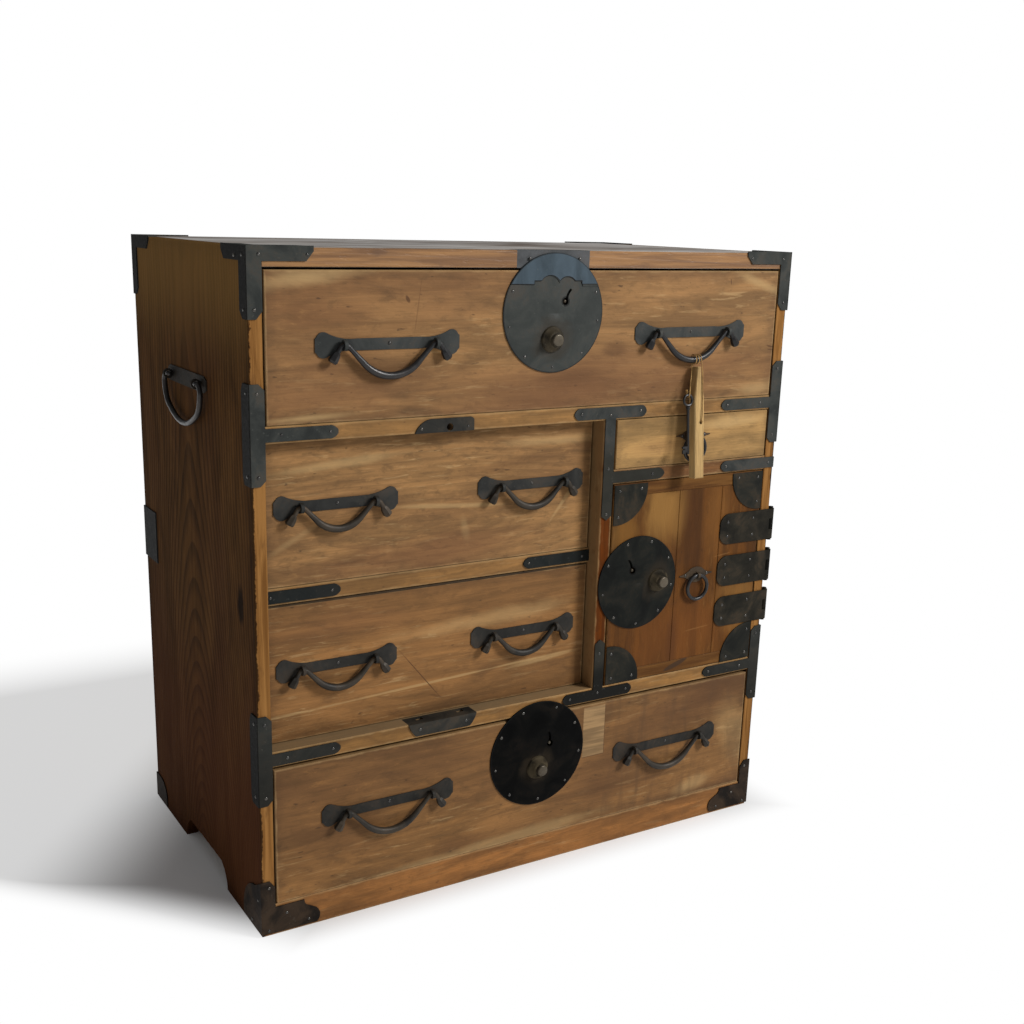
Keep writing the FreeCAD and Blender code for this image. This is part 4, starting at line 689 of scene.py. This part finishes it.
def crescentDress(place):
    # the thin plate over the top of the disc is bluer by a painted reflection, with a painted shadow line
    # along its lower edge
    look = crescentLook
    x, drop = place["at"]

    def above(parts, grow):
        level = caseHigh - (drop - look["low"] - grow) * mm
        share = ramped(parts["z"], level - 0.00025, level + 0.00025)
        cuts = [mark(parts, (x + a, drop - b), (r + grow,) * 2, 0, 0.02) for a, b, r in look["bumps"]]
        a, b, wide, high = look["step"]
        across = window(parts["x"], (x + a - wide - grow) * mm, (x + a + wide + grow) * mm, 0.0002)
        top = caseHigh - (drop - b - high - grow) * mm
        cuts.append(across * ramped(parts["z"], top + 0.0002, top - 0.0002))
        for cut in cuts:
            share = share * (1.0 - cut)
        return share

    def dress(colour, parts, broad):
        whole, inner = above(parts, 0.0), above(parts, 0.9)
        veins = streaked((parts["z"], parts["x"], parts["y"]), (22, 40, 40), (0, 0, 0), 4.0, 0.6, 0.8)
        blue = blend(ramped(veins, 0.25, 0.75), look["dark"], look["light"])
        colour = blend(inner, blend(whole, colour, look["edge"]), blue)
        return lockDress(place)(colour, parts, broad)
    return dress


for name, place in lockLooks.items():
    dress = crescentDress(place) if name == "top_drawer" else lockDress(place)
    dressNode(f"{name}_lock", ironFinish(f"{name}LockIron", place["iron"], dress))
    dressNode(f"{name}_lock_button", knobIron)
    # the pin that the key turns on, seen in the keyhole
    across, down = place["at"][0] + place["key"][0], place["at"][1] + place["key"][1]
    build = bmesh.new()
    sweptTube(build, [spot(across, down, back) for back in (6.4, -2.2, -2.9)],
              [1.9 * mm, 1.9 * mm, 1.2 * mm], 16, (1, 0, 0))
    pin = meshPiece(f"{name}_key_pin", build, knobIron)
    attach(pin, name)
print("iron dressed")

# Forged bails: drooping rods, thicker in the middle, that curl over into blunt faceted tips.
bailSizes = {"large": {"eyes": 52.5, "drop": 33}, "small": {"eyes": 43, "drop": 27}, "endRadius": 2.6,
             "middleRadius": 4.1, "hitched": 3.85, "ends": ((11.4, -12.5), (0.9, 4)), "curl": 6.5,
             "bend": 1.3, "sag": 0.452, "lift": 1.2, "thickWithin": 0.3, "thinAt": 0.6,
             "tip": ((-6.5, 3.1), (-3.4, 4.4), (3.4, 5.2), (5.4, 3.9))}
bailPlaces = {"top_drawer": ("large", -0.4, (-198.5, 95.5), (199.5, 92.5)),
              "upper_left_drawer": ("small", 20, (-249, 264), (-5.5, 263)),
              "lower_left_drawer": ("small", 20, (-249.5, 443), (-10.5, 441)),
              "bottom_drawer": ("large", -0.4, (-196.5, 612.5), (200, 618))}
axisStand = 6.8                       # from a front to its bails' hinge line


def forgedBail(name, kind, centre):
    eyes, drop = bailSizes[kind]["eyes"], bailSizes[kind]["drop"]
    curl, bend = bailSizes["curl"], drop * bailSizes["bend"]
    half = [Vector((-eyes - out, 0, up)) for out, up in bailSizes["ends"]]
    lowest = bailSizes["lift"] - drop - bend * bailSizes["sag"]
    corners = half + [Vector((0, 0, lowest))] + [Vector((-p.x, 0, p.z)) for p in reversed(half)]
    line = roundedLine(corners, (curl, bend, curl), 0.09)
    rise = max(p.z for p in line)
    line = divided([p - Vector((0, 0, rise)) for p in line], 3.0)
    hitched = name.startswith("top_drawer_bail_right")
    end, middle = bailSizes["endRadius"], bailSizes["hitched" if hitched else "middleRadius"]
    chance = random.Random(name)
    phases = [chance.uniform(0, 6.28) for _ in range(3)]
    radii = []
    for point in line:
        outwards = abs(point.x) / eyes - bailSizes["thickWithin"]
        share = min(1, max(0, 1 - outwards / bailSizes["thinAt"]))
        share = share * share * (3 - 2 * share)
        waves = math.sin(point.x * 0.31 + phases[0]), math.sin(point.x * 0.83 + phases[1])
        uneven = 1 + 0.012 * waves[0] + 0.012 * waves[1]
        radii.append((end + (middle - end) * share) * uneven * mm)
    build = bmesh.new()
    sweptTube(build, [centre + p * mm for p in line], radii, 20, (0, 1, 0))
    for face in build.faces:
        face.smooth = True
    for way in (-1, 1):
        tip, peak = (Vector((-way * p.x, 0, p.z - rise)) for p in half[:2])
        along = (tip - peak).normalized()
        stations = bailSizes["tip"]
        axis = [centre + (tip + along * far) * mm for far, _ in stations]
        sweptTube(build, axis, [wide * mm for _, wide in stations], 6, (0, 1, 0))
    return meshPiece(name, build, rodIron if "top" in name else brownRod, smooth=False)


for drawer, (kind, front, leftAt, rightAt) in bailPlaces.items():
    for side, at in (("left", leftAt), ("right", rightAt)):
        piece = forgedBail(f"{drawer}_bail_{side}_forged", kind, spot(*at, front - axisStand))
        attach(piece, f"{drawer}_bail_{side}")
        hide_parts(f"{drawer}_bail_{side}")
print("bails forged")

# The twine winds round the bail and carries the tag and the key.
hangPoint = spot(206, 124.25, -7.2)
tilt = math.radians(5.5)
wrap = 5.35                          # from the rod's middle to the turns of the twine, mm


def hung(x, y, z):
    # a point in mm about the hanging point, leaned with the tag
    lean, lift = math.sin(tilt), math.cos(tilt)
    return hangPoint + Vector((x, y * lift + z * lean, z * lift - y * lean)) * mm


twineRoute = [(2.7, -1.9, -76.6), (2.7, -7.3, -74.2), (4.2, -6.6, -58), (4.4, -6.6, -43), (4.4, -6.6, -28),
              (3.6, -6.6, -8.2), (2.9, -wrap, -1.5), (2.6, -wrap, wrap), (2.0, wrap, wrap),
              (1.4, wrap, -wrap), (0.2, -wrap, -wrap), (-0.5, -wrap, wrap), (-1.1, wrap, wrap),
              (-2.4, wrap, -wrap), (-5.8, 2.2, -14), (-9.6, -1.6, -23), (-13.4, -4.6, -31.5),
              (-14.7, -5.4, -44.7), (-14.7, 0.4, -44.7), (-14.1, 0.6, -36.5)]
curve = bpy.data.curves.new("twineLine", "CURVE")
curve.dimensions = "3D"
curve.resolution_u = 24
spline = curve.splines.new("NURBS")
spline.points.add(len(twineRoute) - 1)
for point, place in zip(spline.points, twineRoute):
    point.co = (*hung(*place), 1)
spline.order_u = 3
spline.use_endpoint_u = True
lineObject = bpy.data.objects.new("twineLine", curve)
scene.collection.objects.link(lineObject)
bpy.context.view_layer.update()
lineMesh = bpy.data.meshes.new_from_object(lineObject.evaluated_get(bpy.context.evaluated_depsgraph_get()))
twineLine = [v.co.copy() for v in lineMesh.vertices]
bpy.data.objects.remove(lineObject)
bpy.data.meshes.remove(lineMesh)
twineLength = sum((b - a).length for a, b in zip(twineLine, twineLine[1:]))
print(f"twine length {twineLength:.4f}")

twineLook = {"strands": 3, "strandRadius": 0.32, "strandOut": 0.28, "pitch": 4.2, "steps": 9, "sides": 6,
             "knotRadius": 0.55, "knotSteps": 60, "light": (184, 146, 84), "dark": (126, 92, 46)}


def twineFinish():
    material, place, _ = newFinish("strawTwine")
    fine = cloud(place, 900.0, 3.0)
    broad = cloud(place, 120.0, 2.0)
    colour = blend(ramped(broad, 0.3, 0.7), twineLook["dark"], twineLook["light"])
    colour = laid(colour, (110, 82, 48), fine, 0.55, 0.7, 0.4)
    closeFinish(colour, 0.8, bumped(fine, 0.5, 0.0002), {})
    return material


strawTwine = twineFinish()


def evenly(line, gap):
    # points a fixed distance apart along a line
    points, carried = [line[0]], 0.0
    for start, end in zip(line, line[1:]):
        run = (end - start).length
        while carried + run >= gap:
            start = start.lerp(end, (gap - carried) / run)
            run = (end - start).length
            carried = 0.0
            points.append(start.copy())
        carried += run
    return points


def twistedTwine(name, line):
    # three strands laid round each other along the line
    look = twineLook
    points = evenly(line, look["pitch"] * mm / look["steps"])
    frames = list(squareTo(points))
    build = bmesh.new()
    for strand in range(look["strands"]):
        shifted = []
        for i, (point, side, other) in enumerate(frames):
            turn = 2 * math.pi * (i / look["steps"] + strand / look["strands"])
            out = side * math.cos(turn) + other * math.sin(turn)
            shifted.append(point + out * (look["strandOut"] * mm))
        sweptTube(build, shifted, [look["strandRadius"] * mm] * len(shifted), look["sides"])
    return meshPiece(name, build, strawTwine)


twine = twistedTwine("hangingTwine", twineLine)


def knot(name, centre, size, seed):
    # a small overhand knot, a trefoil of the same twine drawn tight
    chance = random.Random(seed)
    turn = chance.uniform(0, 3)
    line = []
    for i in range(twineLook["knotSteps"] + 1):
        t = 2 * math.pi * i / twineLook["knotSteps"]
        across, up = math.sin(t) + 2 * math.sin(2 * t), math.cos(t) - 2 * math.cos(2 * t)
        loop = Vector((across, up, -1.2 * math.sin(3 * t)))
        line.append(centre + (Matrix.Rotation(turn, 3, "Y") @ loop) * (size * mm / 3))
    build = bmesh.new()
    sweptTube(build, line, [twineLook["knotRadius"] * mm] * len(line), 8)
    return meshPiece(name, build, strawTwine)


tagKnot = knot("tagKnot", hung(2.7, -6.9, -74.0), 1.5, 3)
keyKnot = knot("keyKnot", hung(-14.2, 0.6, -37.5), 1.5, 5)
for piece in (twine, tagKnot, keyKnot):
    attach(piece, "tag")
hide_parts("tag_twine")
hung(*twineRoute[0])
# one more turn of the twine round the rod, beside the windings
hitchSizes = {"across": -4.3, "radius": 5.6, "steps": 60}
hitchLine = []
for i in range(hitchSizes["steps"] + 1):
    turn, wide = 2 * math.pi * i / hitchSizes["steps"], hitchSizes["radius"]
    hitchLine.append(hung(hitchSizes["across"], wide * math.cos(turn), wide * math.sin(turn)))
hitch = twistedTwine("hitchTwine", hitchLine)
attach(hitch, "tag")
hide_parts("twine_hitch")
tagLook = {"rough": 0.2, "tint": (172, 141, 92), "pale": (196, 168, 118), "warm": (156, 122, 74),
           "clouds": 0.3, "figure": 0.25, "ringGap": 0.003, "seed": 30.0, "smudges": 0.15,
           "grime": (110, 82, 50), "edgeReach": 0.001, "edgeGrime": 0.15}
wooden("key_tag", "tagWood", "z", tagLook)
print("twine laid")

# Rings, the key and the carrying handles.
ringSizes = {"outer": 18, "thick": 2.45, "back": -5.6}


def forgedRing(name, hinge):
    build = bmesh.new()
    major = (ringSizes["outer"] - ringSizes["thick"]) * mm
    closedRing(build, hinge - Vector((0, 0, major)), Vector((0, 1, 0)), Vector((0, 0, 1)), major,
               ringSizes["thick"] * mm, 14, 64, lambda turn: 1 - 0.05 * math.sin(turn * 3 + 1) ** 2)
    return meshPiece(name, build, rodIron)


for name, at in (("small_drawer_ring", (214, 217.5)), ("door_ring", (233, 397))):
    piece = forgedRing(f"{name}_forged", spot(*at, ringSizes["back"]))
    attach(piece, name)
    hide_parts(name)

keySizes = {"bow": 7.8, "bowRod": 1.5, "bowTop": -41.8, "shift": -14.8, "back": -2.5, "top": -49.0,
            "low": -113.0, "bitHalf": 1.1}


def forgedKey(name):
    size = keySizes
    build = bmesh.new()
    axis = (hung(0, 1, 0) - hung(0, 0, 0)).normalized()
    upward = (hung(0, 0, 1) - hung(0, 0, 0)).normalized()
    major = (size["bow"] - size["bowRod"]) * mm
    closedRing(build, hung(size["shift"], size["back"], size["bowTop"] - major / mm), axis, upward, major,
               size["bowRod"] * mm, 12, 48)
    steps = ((size["top"] - 6, 1.5), (size["top"] - 7, 2.6), (size["top"] - 9.5, 2.7),
             (size["top"] - 10.5, 1.8), (-90, 1.7), (size["low"] + 1, 1.6), (size["low"], 1.1))
    sweptTube(build, [hung(size["shift"], size["back"], drop) for drop, _ in steps],
              [wide * mm for _, wide in steps], 14, (1, 0, 0))
    bit = [(0, -103.2), (-8.6, -103.2), (-8.6, -106), (-5.4, -106), (-5.4, -107.4), (-8.6, -107.4),
           (-8.6, -111.8), (-4, -111.8), (-4, -110.4), (0, -110.4)]
    front, rear = ([build.verts.new(hung(size["shift"] + a, size["back"] + back, b)) for a, b in bit]
                   for back in (-size["bitHalf"], size["bitHalf"]))
    build.faces.new(front)
    build.faces.new(list(reversed(rear)))
    for i in range(len(bit)):
        k = (i + 1) % len(bit)
        build.faces.new((front[i], rear[i], rear[k], front[k]))
    return meshPiece(name, build, rodIron, smooth=False)


key = forgedKey("forgedKey")
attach(key, "tag")
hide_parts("key")

handleSizes = {"eye": 50, "half": 66, "shoulder": 30, "low": 58, "rod": 3.1, "end": 2.6,
               "at": (0.3568, frontY + 0.198, 0.593)}


def forgedHandle(name, way):
    size = handleSizes
    eye, half, shoulder = size["eye"], size["half"], size["shoulder"]
    side = [Vector((-eye + 7, 0, 0)), Vector((-half, 0, 0)), Vector((-half + 5, 0, -shoulder))]
    around = side + [Vector((0, 0, -size["low"]))] + [Vector((-p.x, 0, p.z)) for p in reversed(side)]
    line = divided(roundedLine(around, (9, 28, 88, 28, 9), 0.09), 3.0)
    radii = []
    for p in line:
        wide = size["end"] + (size["rod"] - size["end"]) * min(1, abs(p.z) / 12)
        radii.append(wide * (1 + 0.02 * math.sin(p.x * 0.4)) * mm)
    centre = Vector((way * size["at"][0], *size["at"][1:]))
    build = bmesh.new()
    sweptTube(build, [centre + Vector((0, -way * p.x, p.z)) * mm for p in line], radii, 18, (1, 0, 0))
    return meshPiece(name, build, rodIron)


for side, way in (("left", -1), ("right", 1)):
    piece = forgedHandle(f"{side}_side_bail_forged", way)
    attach(piece, f"{side}_side_bail")
    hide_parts(f"{side}_side_bail")
print("rings, key and handles forged")

# Nails: domed heads set on points by Geometry Nodes.
nailSizes = {"radius": 1.9, "height": 0.85, "spread": 0.14, "seed": 4}


def nailTree():
    # sets a domed head on every point of the given mesh, turned to the point's own direction
    tree = bpy.data.node_groups.new("nailHeads", "GeometryNodeTree")
    for way in ("INPUT", "OUTPUT"):
        tree.interface.new_socket("Geometry", in_out=way, socket_type="NodeSocketGeometry")
    points = add(tree, "NodeGroupInput").outputs["Geometry"]
    ball = {"Segments": 10, "Rings": 6, "Radius": nailSizes["radius"] * mm}
    head = add(tree, "GeometryNodeMeshUVSphere", ball).outputs["Mesh"]
    shape = (1.0, 1.0, nailSizes["height"] / nailSizes["radius"])
    flattened = add(tree, "GeometryNodeTransform", {"Geometry": head, "Scale": shape})
    facing = add(tree, "GeometryNodeInputNamedAttribute", {"Name": "facing"}, data_type="FLOAT_VECTOR")
    way = facing.outputs["Attribute"]
    turned = add(tree, "FunctionNodeAlignRotationToVector", {"Vector": way}, axis="Z")
    limits = {2: 1.0 - nailSizes["spread"], 3: 1.0 + nailSizes["spread"], 8: nailSizes["seed"]}
    size = add(tree, "FunctionNodeRandomValue", limits, data_type="FLOAT")
    places = {"Points": points, "Instance": flattened.outputs[0], "Rotation": turned.outputs[0],
              "Scale": size.outputs[1]}
    placed = add(tree, "GeometryNodeInstanceOnPoints", places)
    smooth = add(tree, "GeometryNodeSetShadeSmooth", {0: placed.outputs[0]})
    whole = add(tree, "GeometryNodeRealizeInstances", {0: smooth.outputs[0]})
    finished = {"Geometry": whole.outputs[0], "Material": nailIron}
    add(tree, "NodeGroupOutput", {0: add(tree, "GeometryNodeSetMaterial", finished).outputs[0]})
    return tree


nailGroup = nailTree()


def nailPiece(name, body, places):
    # places are (point, direction that the head faces)
    mesh = bpy.data.meshes.new(name)
    mesh.from_pydata([tuple(point) for point, _ in places], [], [])
    facing = mesh.attributes.new("facing", "FLOAT_VECTOR", "POINT")
    facing.data.foreach_set("vector", [part for _, way in places for part in way])
    holder = bpy.data.objects.new(name, mesh)
    scene.collection.objects.link(holder)
    holder.modifiers.new("nailHeads", "NODES").node_group = nailGroup
    bpy.context.view_layer.update()
    made = bpy.data.meshes.new_from_object(holder.evaluated_get(bpy.context.evaluated_depsgraph_get()))
    holder.modifiers.clear()
    holder.data = made
    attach(holder, body)


forward, leftward, rightward = (0, -1, 0), (-1, 0, 0), (1, 0, 0)


def onFront(back, *spots):
    return [(spot(x, drop, back), forward) for x, drop in spots]


def ringOf(x, drop, radius, angles):
    # nails near the rim of a round lock plate
    turns = [math.radians(angle) for angle in angles]
    return onFront(-2.0, *((x + radius * math.sin(turn), drop - radius * math.cos(turn)) for turn in turns))


caseNails = []
for way in (-1, 1):
    caseNails += onFront(-1.5, (way * 338, 7), (way * 288, 7), (way * 343.5, 60))
    for middle in (183.25, 533.25):
        caseNails += onFront(-1.5, (way * 343, middle - 42), (way * 343, middle + 42), (way * 318, middle),
                             (way * 265, middle))
    caseNails += onFront(-1.5, (way * 342, 735 - 52), (way * 343, 735), (way * 322, 718), (way * 296, 733))
caseNails += onFront(-1.5, (47, 183), (88, 186), (131, 183), (88, 250), (154, 261), (88, 305))
caseNails += onFront(-1.5, (47, 533), (88, 531), (131, 533), (88, 480))
caseNails += onFront(18.5, (-326, 358.8), (-256, 358.8), (-6, 358.8), (70, 358.8))
caseNails += onFront(-1.5, (270, 261), (340, 261), (-30, 9), (35, 9), (-160, 187), (-103, 187),
                     (-158, 532), (-98, 532))
for way, facing in ((-1, leftward), (1, rightward)):
    outer = way * (350 + 1.5)
    for back, drop in ((8, 8), (30, 9), (7, 60), (7, 141), (7, 225), (7, 491), (7, 575), (8, 700), (28, 733)):
        caseNails.append((spot(outer, drop, back), facing))
nailPiece("caseNails", "case", caseNails)
for drawer, (kind, front, leftAt, rightAt) in bailPlaces.items():
    spots = onFront(front - 1.2, *((x, drop - 0.5) for x, drop in (leftAt, rightAt)))
    if drawer in lockLooks:
        spots += ringOf(*lockLooks[drawer]["at"], *lockLooks[drawer]["nails"])
    nailPiece(f"{drawer}_nails", drawer, spots)
doorSpots = ringOf(*lockLooks["door"]["at"], *lockLooks["door"]["nails"])
for drop in (343, 398.5, 453):
    doorSpots += onFront(-1.9, (280, drop - 9), (280, drop + 9), (322, drop - 11), (322, drop + 11))
for x, way in ((99, 1), (333, -1)):
    for drop, down in ((270.5, 1), (523.7, -1)):
        doorSpots += onFront(-1.6, (x + way * 8, drop + down * 8), (x + way * 40, drop + down * 7),
                             (x + way * 7, drop + down * 40))
doorSpots += onFront(-1.6, (233 - 17, 397), (233 + 17, 397))
nailPiece("door_nails", "door", doorSpots)
nailPiece("small_drawer_nails", "small_drawer", onFront(-1.6, (214 - 17, 217.5), (214 + 17, 217.5)))
print("nails driven")

# The studio: a pale floor that glows white by painted light and keeps the shadow on the left and behind,
# where painted light fades it with distance; one soft light and a white world.
# Each pair says where the floor's painted glow begins to turn it plain white, and where it has, on the way to
# one side.
floorLook = {"size": 9.0, "white": (250, 250, 250), "front": (frontY + 0.01, frontY - 0.05),
             "right": (0.34, 0.42), "back": (0.42, 0.88), "corner": (0.39, 0.65), "shadow": (0.3195, 0.4145),
             "around": (1.0, 1.7)}
floorMesh = bpy.data.meshes.new("studioFloor")
reach = floorLook["size"]
floorMesh.from_pydata([(-reach, -reach, 0), (reach, -reach, 0), (reach, reach, 0), (-reach, reach, 0)],
                      [], [(0, 1, 2, 3)])
floorFinish, place, parts = newFinish("studioFloorFinish")
tree, x, y = place.tree, parts["x"], parts["y"]
far = Field(add(tree, "ShaderNodeVectorMath", {0: place}, operation="LENGTH").outputs["Value"])
past = {"front": y, "right": x, "back": y, "corner": y * 0.8 - x, "shadow": x * -0.743 - y * 0.669,
        "around": far}
lit = 0.0
for side, given in past.items():
    share = ramped(given, *floorLook[side]) * (0.58 if side == "corner" else 1.0)
    lit = sums("MAXIMUM", lit, share)
paint = add(tree, "ShaderNodeBsdfDiffuse", {"Color": tone(*floorLook["white"])})
glow = add(tree, "ShaderNodeEmission", {"Color": (1, 1, 1, 1), "Strength": 1.0})
mixed = add(tree, "ShaderNodeMixShader", {0: lit, 1: paint.outputs[0], 2: glow.outputs[0]})
add(tree, "ShaderNodeOutputMaterial", {"Surface": mixed.outputs[0]})
floor = meshPiece("studioFloor", floorMesh, floorFinish, smooth=False)

worldLight = 0.21                    # the white world's own light; the camera sees it at 1
world = bpy.data.worlds.new("studioWorld")
world.use_nodes = True
tree = world.node_tree
tree.nodes.clear()
seen = Field(add(tree, "ShaderNodeLightPath").outputs["Is Camera Ray"])
strength = seen * (1.0 - worldLight) + worldLight
background = add(tree, "ShaderNodeBackground", {"Color": (1, 1, 1, 1), "Strength": strength})
add(tree, "ShaderNodeOutputWorld", {"Surface": background.outputs[0]})
scene.world = world


def softbox(name, place, aim, size, power):
    light = bpy.data.lights.new(name, "AREA")
    light.shape = "RECTANGLE"
    light.size, light.size_y = size
    light.energy = power
    lamp = bpy.data.objects.new(name, light)
    lamp.location = place
    lamp.rotation_euler = (Vector(aim) - Vector(place)).to_track_quat("-Z", "Y").to_euler()
    scene.collection.objects.link(lamp)


softbox("keySoftbox", (1.85, -2.25, 2.1), (0, 0, 0.35), (0.9, 0.9), 112)
scene.view_settings.view_transform = "Standard"
print("studio lit")
